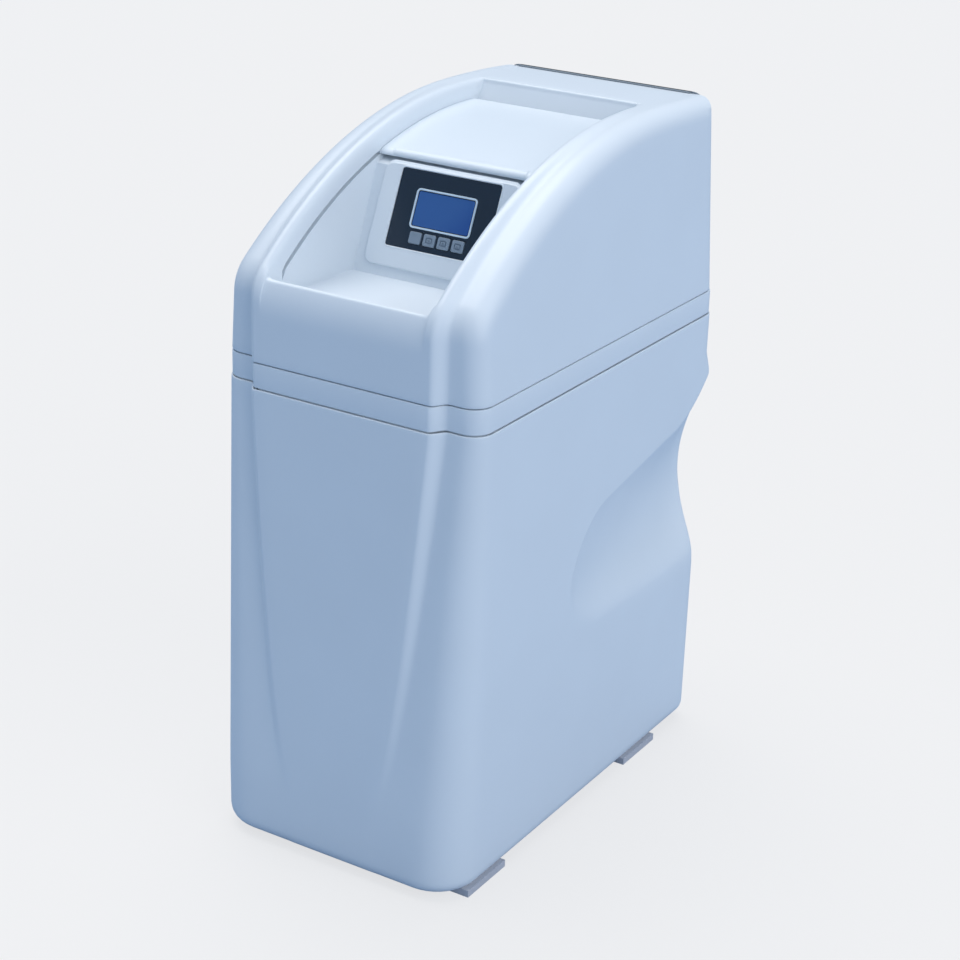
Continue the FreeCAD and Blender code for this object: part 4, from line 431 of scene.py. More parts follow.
def frontStations(rows):
    # Foot round and upright front, then the forehead's arc under the shoulder's arc
    for along, down in quarterArc(4):
        place = (hood["front"] + hood["footRound"] * down, hood["foot"] + hood["footRound"] * along)
        rows.append((place, (-1, 0), place, "front"))
    centreY, centreZ, radius, turn = hood["forehead"]
    for z in spread(hood["foot"] + hood["footRound"], centreZ, 10)[1:]:
        rows.append(((hood["front"], z), (-1, 0), (hood["front"], z), "front"))
    level = math.degrees(math.asin((shoulderZ - centreZ) / radius))
    crestTurn = math.acos((shoulderY - hood["crestUnder"]) / hood["shoulder"])
    for share in joined(spread(-1, 0, 6)[1:], spread(0, 1, 11)):
        a = math.radians(level * (1 + share) if share < 0 else between(level, turn, share))
        b = crestTurn * max(share, 0.0)
        floor = (centreY - radius * math.cos(a), centreZ + radius * math.sin(a))
        z = floor[1] if share < 0 else shoulderZ + hood["shoulder"] * math.sin(b)
        place = (shoulderY - hood["shoulder"] * math.cos(b), z)
        rows.append((place, (-math.cos(b), math.sin(b)), floor, "front"))


def shelfStations(rows):
    # The lip's rounded crest, its back, the round at its foot and the shelf behind it
    crestY, crestZ = rows[-1][2]
    turn, bend, foot = math.radians(hood["forehead"][3]), hood["crestRound"], hood["lipFoot"]
    middleY, middleZ = crestY + bend * math.cos(turn), crestZ - bend * math.sin(turn)
    lipBack, (shelfZ, shelfEnd), (overFrom, overTo) = middleY + bend, hood["shelf"], hood["lipOver"]
    pairs = []
    for share in spread(0, 1, 11)[1:]:
        a = between(turn, math.pi, share)
        floor = (middleY - bend * math.cos(a), middleZ + bend * math.sin(a))
        pairs.append((between(hood["crestUnder"], overFrom, share), floor))
    pairs += [(between(overFrom, overTo, share), (lipBack, between(middleZ, shelfZ + foot, share)))
              for share in spread(0, 1, 4)[1:]]
    for share, (along, down) in zip(spread(0, 1, 7)[1:], quarterArc(7, 1)):
        pairs.append((between(overTo, lipBack + foot, share), (lipBack + foot * along, shelfZ + foot * down)))
    for y in spread(lipBack + foot, hood["shelfBack"], 20)[1:]:
        z = between(shelfZ, shelfEnd, (y - lipBack) / (hood["shelfBack"] - lipBack))
        turned = smooth((y - hood["turning"][0]) / (hood["turning"][1] - hood["turning"][0]))
        pairs.append((y - towardsAxis(y, z) * turned, (y, z)))
    rows += [(*outlineOver(over), floor, "shelf") for over, floor in pairs]


def crownStations(rows):
    # Display wall and deck, each under the point of the crown that faces it from the crown's axis
    top = wallTop()
    ups = joined(spread(hood["wallFoot"], hood["displayHole"][0], 7), spread(*hood["displayHole"], 11), [top])
    targets = [(display + alongWall * up, "wall") for up in ups]
    (topY, topZ), deck = display + alongWall * top, hood["deck"]
    front, back = (math.asin((axisY - y) / deck) for y in hood["mouth"])
    leans = joined(spread(math.atan2(axisY - topY, topZ - axisZ), front, 8), spread(front, back, 14),
                   spread(back, 0, 9))
    targets += [(crownAxis + deck * np.array([-math.sin(lean), math.cos(lean)]), "deck") for lean in leans]
    for (y, z), region in targets:
        lean = math.atan2(axisY - y, z - axisZ)
        way = np.array([-math.sin(lean), math.cos(lean)])
        rows.append((crownAxis + way * hood["crown"], way, (y, z), region))


def backStations(rows):
    # Behind the crown's highest line: the deck, a wall that leans back and eases out of it, a rounded edge,
    # the falling crown, and the upright back
    deck, foot, wall, bend = (hood[name] for name in ("deck", "channelFoot", "channelWall", "channelRound"))
    grooveEnd = axisY - sum(hood["groove"]) / 2 * math.sin(math.radians(hood["grooveAngles"][1]))
    wallRise = fallingCrown(wall, axisY)[0] - bend
    near, after = hood["grooveStep"]
    ys = joined(spread(axisY + hood["fallFrom"], grooveEnd - near, 7), [grooveEnd + near],
                spread(grooveEnd + after, wall, 12))
    climb = (ys - foot) / (wall - foot)
    eased = (climb + np.sqrt(climb ** 2 + hood["channelEase"])) / 2
    eased = np.where(climb > hood["channelFrom"], eased, 0.0)
    deckZ = axisZ + np.sqrt(deck ** 2 - (ys - axisY) ** 2)
    pairs = list(zip(ys, between(deckZ, wallRise, np.minimum(eased, 1.0))))
    pairs += [(wall + bend * along, fallingCrown(wall + bend * along, axisY)[0] - bend * down)
              for along, down in quarterArc(6)]
    # The last of these stays clear of the back's own rounded edge
    lastFall = backTop - hood["edge"] - hood["channelClear"]
    pairs += [(y, fallingCrown(y, axisY)[0]) for y in spread(wall + bend, lastFall, 6)[1:]]
    for y, floorZ in pairs:
        z, turn = fallingCrown(y, axisY)
        rows.append(((y, z), (math.sin(turn), math.cos(turn)), (y, floorZ), "fall"))
    # The back has as many stations as the upright front, so that the side face joins both row to row
    upright = np.array([place[1] for place, way, floor, region in rows if way[1] == 0])[:-1]
    rows.append(((backTop, crownEnd), (1, 1), (backTop, crownEnd), "back"))
    for share in (upright[::-1] - upright[0]) / (upright[-1] - upright[0]):
        z = between(hood["foot"], hood["windowTop"], share)
        place = (backAt(z) - float(footInset(z)), z)
        rows.append((place, (1, 0), place, "back"))


def hoodStations():
    # Each station: a point of the raised band's outline, its outward direction, a floor point and its region
    rows = []
    for build in (frontStations, shelfStations, crownStations, backStations):
        build(rows)
    base, normal, floor = (np.array([row[number] for row in rows], float) for number in range(3))
    region = np.array([row[3] for row in rows])
    # The outer band is the same outline set back; behind the crown's highest line the two bands run together
    share = np.clip((backTop - base[:, 0]) / (backTop - axisY), 0, 1)
    share = np.where(region == "back", 0.0, np.where(region == "fall", share, 1.0))
    outer = base + np.stack([hood["setback"] * share, 0 * share], axis=-1)
    outerFall, _ = fallingCrown(outer[:, 0], axisY + hood["setback"])
    outer[:, 1] = np.where(region == "fall", outerFall, outer[:, 1])
    return base, normal, floor, outer, region


def hoodLines(base, normal, floor, outer):
    # Across each station, from the side face to the middle: rounded long edge, outer band, step, rounded
    # inner edge, wall with the lid's groove, concave corner, floor. The inner part follows each station's own
    # line from its outline point to its floor point.
    lines = []

    def across(x, places):
        lines.append(np.stack(np.broadcast_arrays(x, places[:, 0], places[:, 1]), axis=-1))

    for along, down in quarterArc(10):
        places = outer - normal * hood["edge"] * down
        across(halfWidthAt(places[:, 1]) - hood["edge"] * along, places)
    edgeX = halfWidthAt(outer[:, 1]) - hood["edge"]
    stepOut, stepIn = hood["stepMiddle"] + hood["stepRun"], hood["stepMiddle"] - hood["stepRun"]
    for t in (0.5, 1.0):
        across(between(edgeX, stepOut, t), outer)
    for t in spread(0, 1, 11)[1:]:
        across(between(stepOut, stepIn, t), between(outer, base, float(stepShape(t))))

    reach = np.linalg.norm(floor - base, axis=1)
    inward = (floor - base) / np.maximum(reach, 1e-6)[:, None]

    def sunk(x, depth):
        across(x, base + inward * np.reshape(depth, (-1, 1)))

    def depthAt(radius):
        # How far along each station's own line a circle about the crown's axis is met
        offset = base - crownAxis
        slope = (offset * inward).sum(axis=1)
        return -slope - np.sqrt(np.maximum(slope ** 2 - (offset ** 2).sum(axis=1) + radius ** 2, 0.0))

    wallX = hood["innerWall"]
    deepRound = np.minimum(hood["innerRound"], hood["roundShare"] * reach)
    for turn in spread(0, quarterTurn, 9)[1:]:
        sunk(between(stepIn, wallX, math.sin(turn)), deepRound * (1 - math.cos(turn)))
    fade = smooth((floor[:, 0] - hood["lipOver"][1]) / hood["lipFade"])
    fillet = np.where(reach > 1e-6, between(*hood["fillet"], fade), hood["fillet"][1])
    filletTall = np.minimum(fillet, 0.5 * reach)
    wallFoot = reach - filletTall
    grooveMiddle = base + inward * depthAt(sum(hood["groove"]) / 2)[:, None]
    lean = np.degrees(np.arctan2(axisY - grooveMiddle[:, 0], grooveMiddle[:, 1] - axisZ))
    first, last = hood["grooveAngles"]
    inGroove = (lean < first) & (lean > last) & (reach > hood["grooveLeast"])
    flare = hood["grooveFlare"] * smooth((lean - hood["flareAt"]) / hood["flareAt"])
    plainHigh, plainLow = (between(deepRound, wallFoot, share) for share in hood["plainWall"])
    high = np.where(inGroove, depthAt(hood["groove"][0] + flare), plainHigh)
    low = np.where(inGroove, depthAt(hood["groove"][1]), plainLow)
    grooveX = np.where(inGroove, hood["grooveReach"], wallX)
    for x, depth in ((wallX, high), (grooveX, high), (grooveX, low), (wallX, low)):
        sunk(x, depth)
    footX = wallX - np.maximum(0.0, wallFoot - low) * hood["draft"]
    sunk(footX, wallFoot)
    for along, down in quarterArc(8, 1):
        sunk(footX - fillet * along, wallFoot + filletTall * (1 - down))
    floorX = footX - fillet
    mouthX = np.minimum(hood["mouthHalf"], hood["nearMiddle"][0] * floorX)
    holeX = np.minimum(hood["displayHoleHalf"], hood["nearMiddle"][1] * floorX)
    for t in (0.5, 1.0):
        sunk(between(floorX, mouthX, t), reach)
    for t in (0.33, 0.67, 1.0):
        sunk(between(mouthX, holeX, t), reach)
    for t in spread(0, 1, 8)[1:]:
        sunk(holeX * (1 - t), reach)
    return np.stack(lines, axis=1).astype(float)


def hoodSide(strip, frontCount, corner):
    # Side face: a straight blend from the line along the foot to the rounded long edge, by the front edge's
    # share of its height; the front's and the back's own edges are its ends
    curve = strip[frontCount - 1:corner + 1, 0]
    frontEdge, backEdge = strip[:frontCount, 0], strip[corner:, 0][::-1]
    share = ((frontEdge[:, 2] - frontEdge[0, 2]) / (frontEdge[-1, 2] - frontEdge[0, 2]))[:, None]
    footEnd = backEdge[0, 1] + hood["footRound"]
    footY = curve[:, 1] + (footEnd - curve[-1, 1]) * smooth(curve[:, 1] / curve[-1, 1])
    z = between(hood["foot"], curve[None, :, 2], share)
    y = between(footY[None], curve[None, :, 1], share)
    y += footInset(z) * (1 - smooth((curve[:, 1] - curve[0, 1]) / hood["footEase"]))
    side = grid(halfWidthAt(z), y, z)
    side[:, 0], side[-1], side[:, -1] = frontEdge, curve, backEdge
    return side


def hoodPiece():
    base, normal, floor, outer, region = hoodStations()
    strip = hoodLines(base, normal, floor, outer)
    stations, lines = strip.shape[:2]
    # Openings: for the display's boss in the wall, the mouth under the lid, and the window behind the rear
    # panel. The first ends a little below the boss's top, where the fascia hides it.
    middle = (floor[:-1] + floor[1:]) / 2
    up = (middle - display) @ alongWall
    (mouthFront, mouthBack), holeLow = hood["mouth"], hood["displayHole"][0]
    mouthLine = strip[int(np.argmin(abs(floor[:, 0] - (mouthFront + mouthBack) / 2))), :, 0]
    mouthFrom = int(np.argmin(abs(mouthLine - hood["mouthHalf"])))
    holeFrom = int(np.argmin(abs(mouthLine - hood["displayHoleHalf"])))
    windowFrom = int(np.argmin(abs(strip[-1, :, 0] - hood["stepMiddle"])))
    inDisplay = (region[:-1] == "wall") & (up > holeLow) & (up < hood["displayHoleEnd"])
    inMouth = (region[:-1] == "deck") & (middle[:, 0] > mouthFront) & (middle[:, 0] < mouthBack)
    inWindow = (region[:-1] == "back") & (base[:-1, 1] <= hood["windowTop"] + 0.01)
    keep = np.ones((stations - 1, lines - 1), bool)
    for opening, start in ((inDisplay, holeFrom), (inMouth, mouthFrom), (inWindow, windowFrom)):
        keep[opening, start:] = False
    # Skirt: the mouth's edge carried straight down
    inside = (region == "deck") & (floor[:, 0] > mouthFront - 0.01) & (floor[:, 0] < mouthBack + 0.01)
    mouthRows = np.where(inside)[0]
    edge = np.concatenate([strip[mouthRows[0], mouthFrom:][::-1], strip[mouthRows, mouthFrom][1:],
                           strip[mouthRows[-1], mouthFrom:][1:]])[None]
    skirtZ = between(edge[..., 2], hood["skirtFoot"], spread(0, 1, 4)[:, None])
    skirt = grid(edge[..., 0], edge[..., 1], skirtZ)
    side = hoodSide(strip, int(np.argmax(normal[:, 1] > 0.0)), int(np.argmax(region == "back")))
    piece = buildMesh("hoodShell", bothSides(strip, keep) + bothSides(side) + bothSides(skirt),
                      outward=(1, 0, 0.2))
    thicken(piece, hood["wall"])
    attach(piece, "hood")
    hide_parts("hood_shell")
    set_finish(piece, "shell_white")


hoodPiece()
print("stage: hood")

# Lid: one closed section across, carried round the crown's axis, with a raised finger lip at its front
lid = {
    "under": 448.0, "thickness": 4.0, "front": 17.05, "back": -3.3, "half": 83.4, "tongue": 87.4,
    "tongueTop": 450.6, "round": 0.8, "lip": 9.0, "lipHalf": 69.4, "lipRise": 1.2, "lipEdge": 2.4,
    "dense": 2.0, "frontRun": 7.0, "frontDrop": 4.2, "least": 0.1,
}


def lidPiece():
    # Radius over run and width: the lid's circle, less a quarter round at each edge and a long elliptical one
    # at the front, plus a smooth rise inside the finger lip; the tongues in the grooves close the section
    half, bend, dense, edge = (lid[name] for name in ("half", "round", "dense", "lipEdge"))
    radius = lid["under"] + lid["thickness"]
    length = math.radians(lid["front"] - lid["back"]) * radius
    rounds = np.array(quarterArc(6)).T
    lip, lipHalf = lid["lip"], lid["lipHalf"]
    run = joined(lid["frontRun"] * np.array(quarterArc(14))[:, 0], spread(lip - dense, lip + dense, 9),
                 spread(lip + dense, length - bend, 26), length - bend * rounds[0][::-1])
    toEnd = np.minimum(length - run, bend)
    frontShare = np.clip(1 - run / lid["frontRun"], 0, 1)
    endDrop = bend - np.sqrt(np.clip(bend ** 2 - (bend - toEnd) ** 2, 0, None))
    endDrop += lid["frontDrop"] * (1 - np.sqrt(1 - frontShare ** 2))
    halfX = joined(spread(0, lipHalf - dense, 12), spread(lipHalf - dense, lipHalf + dense, 9),
                   spread(lipHalf + dense, half - bend, 5), half - bend * rounds[1])
    rowX = np.concatenate([-halfX[::-1][:-1], halfX])
    toSide = np.clip(abs(rowX) - (half - bend), 0, bend)
    sideDrop = bend - np.sqrt(np.clip(bend ** 2 - toSide ** 2, 0, None))
    onLip = smooth((lip + edge / 2 - run) / edge)[:, None] * smooth((lipHalf + edge / 2 - abs(rowX)) / edge)
    top = radius - endDrop[:, None] - sideDrop + lid["lipRise"] * onLip
    sideX = np.array([half, lid["tongue"], lid["tongue"]])
    sideR = np.tile([lid["tongueTop"], lid["tongueTop"], lid["under"]], (len(run), 1))
    underX = spread(lid["tongue"], -lid["tongue"], 14)[1:-1]
    x = np.concatenate([-sideX[::-1], rowX, sideX, underX])
    r = np.concatenate([sideR[:, ::-1], np.maximum(top, lid["under"] + lid["least"]), sideR,
                        np.full((len(run), len(underX)), lid["under"])], axis=1)
    turn = (math.radians(lid["front"]) - run / radius)[:, None]
    points = grid(x[None], axisY - r * np.sin(turn), axisZ + r * np.cos(turn))
    piece = buildMesh("lidPanel", [(points, None, True)], [points[0], points[-1]], outward=(0, 0, 1),
                      merge=0.004)
    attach(piece, "lid")
    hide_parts("slide_lid")
    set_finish(piece, "lid_white")


lidPiece()
print("stage: lid")


def onWall(x, up, out):
    # Places across, up the slope and out of the display wall, as points in the cabinet's frame
    run, rise = alongWall
    x, up, out = np.broadcast_arrays(x, up, out)
    return grid(x, display[0] + up * run - out * rise, display[1] + up * rise + out * run)


def roundedLoop(half, low, high, corner, steps=7, straight=5):
    # Points round a rectangle with rounded corners, the same number for every size
    arcs, loop = [], []
    for x, up, start in ((half - corner, low + corner, -90), (half - corner, high - corner, 0),
                         (corner - half, high - corner, 90), (corner - half, low + corner, 180)):
        turns = np.radians(start + spread(0, 90, steps))
        arcs.append(np.stack([x + corner * np.cos(turns), up + corner * np.sin(turns)], axis=-1))
    share = spread(0, 1, straight + 2)[1:-1, None]
    for arc, following in zip(arcs, arcs[1:] + arcs[:1]):
        loop += [arc, between(arc[-1], following[0], share)]
    return np.concatenate(loop)


def wallPiece(name, rows, capped=True):
    # rows: (loop, how far out of the wall). A capped piece has a face on its first and its last loop; in the
    # other pieces these two lie together.
    points = np.array([onWall(loop[:, 0], loop[:, 1], out) for loop, out in rows])
    caps = [points[0], points[-1]] if capped else []
    return buildMesh(name, [(points, None, True)], caps, outward=outOfWall, merge=0.004)


# Bezel: a raised plate with soft edges, a fine bead round the fascia and a boss through the wall
bezel = {
    "half": 71.0, "low": -19.0, "high": 74.0, "corner": 9.0, "thick": 3.0, "edge": 1.4, "shoulder": 2.6,
    "shoulderFrom": 0.4, "seatHalf": 52.3, "seatLow": -0.3, "seatHigh": 71.3, "seatCorner": 3.0, "seat": 1.4,
    "bead": ((1.6, 0.0), (1.3, 0.3), (0.9, 0.5), (0.4, 0.35), (0.0, 0.0)),
    "bossHalf": 50.0, "bossLow": 2.0, "bossHigh": 69.0, "bossCorner": 3.0, "bossWall": 3.0,
    "bossDepth": -12.0,
}


def bezelPiece():
    def plate(cut, out, tall=0.0):
        high = bezel["high"] + tall - cut
        return roundedLoop(bezel["half"] - cut, bezel["low"] + cut, high, bezel["corner"] - cut), out

    def seat(grow, out):
        return roundedLoop(bezel["seatHalf"] + grow, bezel["seatLow"] - grow, bezel["seatHigh"] + grow,
                           bezel["seatCorner"] + grow), out

    def boss(cut, out):
        return roundedLoop(bezel["bossHalf"] - cut, bezel["bossLow"] + cut, bezel["bossHigh"] - cut,
                           bezel["bossCorner"]), out

    edge, thick, shoulder = bezel["edge"], bezel["thick"], bezel["shoulder"]
    rows = [boss(0, 0.0), plate(0.0, 0.0, shoulder)]
    rows += [plate(0.0, between(bezel["shoulderFrom"], thick - edge, share), shoulder * (1 - share))
             for share in spread(0, 1, 4)]
    rows += [plate(edge * along, thick - edge * down) for along, down in quarterArc(6, 1)]
    rows += [seat(grow, thick + rise) for grow, rise in bezel["bead"]]
    rows += [seat(0.0, bezel["seat"]), boss(bezel["bossWall"], bezel["seat"]),
             boss(bezel["bossWall"], bezel["bossDepth"]), boss(0, bezel["bossDepth"]), boss(0, 0.0)]
    piece = wallPiece("displayBezel", rows, capped=False)
    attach(piece, "hood")
    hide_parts("display_bezel")
    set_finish(piece, "shell_white")


# Fascia: a dark plate with openings for the window and the four keys
fascia = {
    "half": 52.0, "low": 0.0, "high": 71.0, "out": 2.8, "thick": 1.4, "edge": 0.25, "swell": 0.12,
    "windowHalf": 28.0, "windowLow": 23.0, "windowHigh": 51.5,
    "keyPitch": 15.0, "keyHalf": 6.45, "keyLow": 5.1, "keyHigh": 16.5,
}
keyPlaces = [(number - 1.5) * fascia["keyPitch"] for number in range(4)]


def fasciaPiece():
    half, windowHalf, keyHalf = fascia["half"], fascia["windowHalf"], fascia["keyHalf"]
    edges = [-half, half, -windowHalf, windowHalf]
    for place in keyPlaces:
        edges += [place - keyHalf, place + keyHalf]
    edges.sort()
    xs = joined(*[spread(a, b, 3) for a, b in zip(edges[:-1], edges[1:])])
    levels = [fascia[name] for name in ("low", "keyLow", "keyHigh", "windowLow", "windowHigh", "high")]
    ups = joined(*[spread(a, b, 4) for a, b in zip(levels[:-1], levels[1:])])
    middleX, middleUp = (xs[1:] + xs[:-1]) / 2, ((ups[1:] + ups[:-1]) / 2)[:, None]
    upWindow = (middleUp > fascia["windowLow"]) & (middleUp < fascia["windowHigh"])
    upKey = (middleUp > fascia["keyLow"]) & (middleUp < fascia["keyHigh"])
    onKey = np.min([abs(middleX - place) for place in keyPlaces], axis=0) < keyHalf
    isOpen = (upWindow & (abs(middleX) < windowHalf)) | (upKey & onKey)
    # A shallow swell, the product of one parabola across and one up, so that the gloss isn't dead flat
    centre = (fascia["low"] + fascia["high"]) / 2
    swell = fascia["swell"] * (1 - (xs / half) ** 2) * (1 - ((ups[:, None] - centre) / centre) ** 2)
    points = onWall(xs, ups[:, None], fascia["out"] + swell)
    piece = buildMesh("displayFascia", [(points, ~isOpen, False)], outward=outOfWall)
    thicken(piece, fascia["thick"])
    soften(piece, fascia["edge"], 2)
    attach(piece, "hood")
    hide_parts("display_fascia")
    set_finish(piece, "fascia_black")


# Window: a faintly domed pane with rounded corners, and the rim round it
window = {
    "half": 29.5, "low": 21.5, "high": 53.0, "corner": 2.0, "cornerFall": 0.1, "leastCorner": 0.3,
    "back": 1.5, "face": 3.1, "clear": 0.1, "edge": 0.3, "dome": 0.15, "domeRun": 12.0,
}
rim = {"width": 3.8, "corner": 3.8, "leastCorner": 0.4, "back": 2.9, "rise": 1.0, "round": 0.45, "bead": 1.7}


def windowPiece():
    def loop(cut):
        corner = max(window["leastCorner"], window["corner"] - cut * window["cornerFall"])
        return roundedLoop(window["half"] - cut, window["low"] + cut, window["high"] - cut, corner)

    clear, edge, face = window["clear"], window["edge"], window["face"]
    rows = [(loop(clear), window["back"]), (loop(clear), face - edge), (loop(clear + edge), face)]
    for share in spread(0, 1, 7)[1:]:
        rise = window["dome"] * math.sin(share * quarterTurn)
        rows.append((loop(clear + edge + window["domeRun"] * share), face + rise))
    piece = wallPiece("displayWindow", rows)
    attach(piece, "hood")
    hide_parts("display_window")
    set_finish(piece, "window_blue")


def rimPiece():
    def loop(grow):
        low, high = fascia["windowLow"] - grow, fascia["windowHigh"] + grow
        corner = max(rim["leastCorner"], rim["corner"] - rim["width"] + grow)
        return roundedLoop(fascia["windowHalf"] + grow, low, high, corner)

    bend, high, width = rim["round"], rim["back"] + rim["rise"], rim["width"]
    inner = width - rim["bead"]
    rows = [(loop(inner), rim["back"]), (loop(inner), high - bend)]
    rows += [(loop(inner + bend * along), high - bend * down) for along, down in quarterArc(5, 1)]
    rows += [(loop(width - bend * down), high - bend * along) for along, down in quarterArc(5)]
    rows += [(loop(width), rim["back"]), rows[0]]
    piece = wallPiece("windowRim", rows, capped=False)
    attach(piece, "hood")
    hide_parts("window_frame")
    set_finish(piece, "frame_silver")


bezelPiece()
fasciaPiece()
windowPiece()
rimPiece()

# Rear panel: a plate with a notch for the pipes, soft edges, and a cap that folds over the hood's back edge
rear = {
    "half": 112.0, "foot": 473.2, "notchHalf": 88.0, "notchTop": 560.0, "notchRound": 6.0, "shoulder": 638.0,
    "topHalf": 97.0, "rise": 1.6, "gap": 0.05, "thick": 3.0, "edge": 0.8, "capHalf": 95.0, "capDepth": 6.0,
    "capRound": 0.5,
}


def rearPiece():
    # Right half of the outline: from the notch's middle round it to the foot, up the side, over the
    # elliptical shoulder and along the top to the middle
    top, shoulder, bend = crownEnd + rear["rise"], rear["shoulder"], rear["notchRound"]
    notchHalf, notchTop = rear["notchHalf"], rear["notchTop"]
    notch = [(notchHalf, z) for z in spread(rear["foot"], notchTop - bend, 6)]
    notch += [(notchHalf - bend * along, notchTop - bend * down) for along, down in quarterArc(8, 1)]
    notch += [(x, notchTop) for x in spread(notchHalf - bend, 0, 9)[1:]]
    edge = [(rear["half"], z) for z in spread(rear["foot"], shoulder, 14)]
    edge += [(between(rear["half"], rear["topHalf"], along), between(top, shoulder, down))
             for along, down in quarterArc(8, 1)]
    edge += [(x, top) for x in spread(rear["topHalf"], 0, 10)[1:]]
    half = np.array(notch[::-1] + edge)
    loop = np.concatenate([half, (half * mirror[:2])[::-1][1:-1]])
    # Drawn in along its own outward direction, for the soft edge
    step = np.roll(loop, -1, axis=0) - np.roll(loop, 1, axis=0)
    inwards = np.stack([-step[:, 1], step[:, 0]], axis=-1) / np.linalg.norm(step, axis=1)[:, None]

    def sheet(cut, out):
        x, z = (loop + inwards * cut).T
        return grid(x, backAt(z) + out, z)

    bend, thick = rear["edge"], rear["thick"]
    rows = [sheet(0, rear["gap"]), sheet(0, thick - bend)]
    rows = np.array(rows + [sheet(bend * along, thick - bend * down) for along, down in quarterArc(4, 1)])
    # Cap: one section with bevelled upper edges, carried across the top
    high, bend, foot = backTop + thick, rear["capRound"], crownEnd + rear["gap"]
    low = high - rear["capDepth"]
    section = np.array([(low, foot), (low, top - bend), (low + bend, top), (high - bend, top),
                        (high, top - bend), (high, foot)])
    cap = grid(spread(-rear["capHalf"], rear["capHalf"], 12)[:, None], section[:, 0], section[:, 1])
    caps = [rows[0], rows[-1], cap[0], cap[-1]]
    piece = buildMesh("rearPanel", [(rows, None, True), (cap, None, True)], caps, outward=(0, 1, 0),
                      merge=0.004)
    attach(piece, "hood")
    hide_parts("rear_panel")
    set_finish(piece, "slate_panel")


rearPiece()
print("stage: rear panel")

# Keys: rounded caps; the first has a shallow dish, the others a sunk square with a pip in its middle
key = {
    "half": 6.2, "low": 5.35, "high": 16.25, "corner": 1.6, "cornerFall": 0.25, "leastCorner": 0.4,
    "back": -1.2, "face": 3.8, "round": 0.6, "dish": 0.25, "dishRun": 4.2, "mark": 3.4, "markWidth": 0.9,
    "markSlant": 0.1, "pip": 1.0, "pipSlant": 0.25, "relief": 0.8,
}


def keyPiece(number, place):
    def loop(cut):
        corner = max(key["leastCorner"], key["corner"] - cut * key["cornerFall"])
        around = roundedLoop(key["half"] - cut, key["low"] + cut, key["high"] - cut, corner)
        return around + np.array([place, 0.0])

    bend, face, deep, slant = key["round"], key["face"], key["relief"], key["markSlant"]
    edge, pip = key["half"] - key["mark"], key["half"] - key["pip"]
    inner = edge + key["markWidth"]
    rows = [(loop(0.0), key["back"]), (loop(0.0), face - bend)]
    rows += [(loop(bend * along), face - bend * down) for along, down in quarterArc(6, 1)]
    if number == 1:
        for share in spread(0, 1, 6)[1:]:
            drop = key["dish"] * math.sin(share * quarterTurn) ** 2
            rows.append((loop(bend + key["dishRun"] * share), face - drop))
    else:
        rows += [(loop(edge), face), (loop(edge + slant), face - deep), (loop(inner), face - deep),
                 (loop(inner + slant), face), (loop(pip - key["pipSlant"]), face), (loop(pip), face + deep)]
    piece = wallPiece(f"keyCap{number}", rows)
    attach(piece, f"key_{('one', 'two', 'three', 'four')[number - 1]}")
    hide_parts(f"key_{number}")
    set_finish(piece, "key_grey")


for number, place in enumerate(keyPlaces, start=1):
    keyPiece(number, place)
print("stage: display")

# Finishes: base colour, roughness, and the fine grain's strength and scale. A second colour goes with a slope
# (it takes over along a direction, between two places), which on the window is a painted reflection, or with
# loose grains (each has its own share of it).
finishes = {
    "shell_white": ((0.79, 0.84, 0.885), 0.34, 0.02, 900.0),
    "lid_white": ((0.80, 0.855, 0.90), 0.30, 0.02, 900.0),
    "slate_panel": ((0.20, 0.235, 0.27), 0.55, 0.06, 700.0),
    "fascia_black": ((0.010, 0.022, 0.040), 0.16, 0.0, 500.0),
    "frame_silver": ((0.62, 0.74, 0.84), 0.28, 0.01, 800.0),
    "window_blue": ((0.036, 0.120, 0.350), 0.12, 0.0, 300.0),
    "key_grey": ((0.23, 0.29, 0.36), 0.42, 0.02, 900.0),
    "board_green": ((0.02, 0.12, 0.05), 0.45, 0.03, 500.0),
    "foot_grey": ((0.56, 0.56, 0.60), 0.65, 0.10, 500.0),
    "vessel_grey": ((0.30, 0.33, 0.36), 0.48, 0.08, 160.0),
    "boot_black": ((0.022, 0.023, 0.025), 0.5, 0.05, 600.0),
    "pipe_white": ((0.72, 0.73, 0.72), 0.40, 0.02, 700.0),
    "gravel_tan": ((0.46, 0.36, 0.25), 0.85, 0.9, 180.0),
    "media_brown": ((0.20, 0.11, 0.06), 0.80, 0.7, 420.0),
    "valve_black": ((0.028, 0.029, 0.031), 0.46, 0.05, 600.0),
    "ceramic": ((0.70, 0.68, 0.62), 0.22, 0.02, 900.0),
    "stem_brass": ((0.62, 0.42, 0.16), 0.28, 0.04, 400.0),
    "gear_white": ((0.78, 0.77, 0.73), 0.42, 0.03, 700.0),
    "motor_steel": ((0.52, 0.53, 0.55), 0.30, 0.04, 300.0),
    "screw_steel": ((0.56, 0.57, 0.58), 0.26, 0.03, 600.0),
    "nut_black": ((0.030, 0.031, 0.033), 0.50, 0.05, 500.0),
    "knob_blue": ((0.020, 0.10, 0.42), 0.36, 0.03, 700.0),
    "knob_grey": ((0.20, 0.21, 0.23), 0.40, 0.03, 700.0),
    "seal_rubber": ((0.015, 0.015, 0.016), 0.72, 0.08, 500.0),
    "float_blue": ((0.05, 0.22, 0.50), 0.45, 0.12, 320.0),
    "pick_up_grey": ((0.34, 0.35, 0.37), 0.42, 0.03, 700.0),
}
secondColours = {
    # The window's slope is a painted reflection: the pane is lighter towards its upper left and darker
    # towards its lower right
    "window_blue": {"colour": (0.014, 0.072, 0.290), "slope": (0.8, 0.0, -0.6), "between": (-0.35, -0.31)},
    "gravel_tan": {"colour": (0.22, 0.15, 0.10), "grains": 260.0},
    "media_brown": {"colour": (0.07, 0.035, 0.02), "grains": 900.0},
}
metals = ("stem_brass", "motor_steel", "screw_steel")
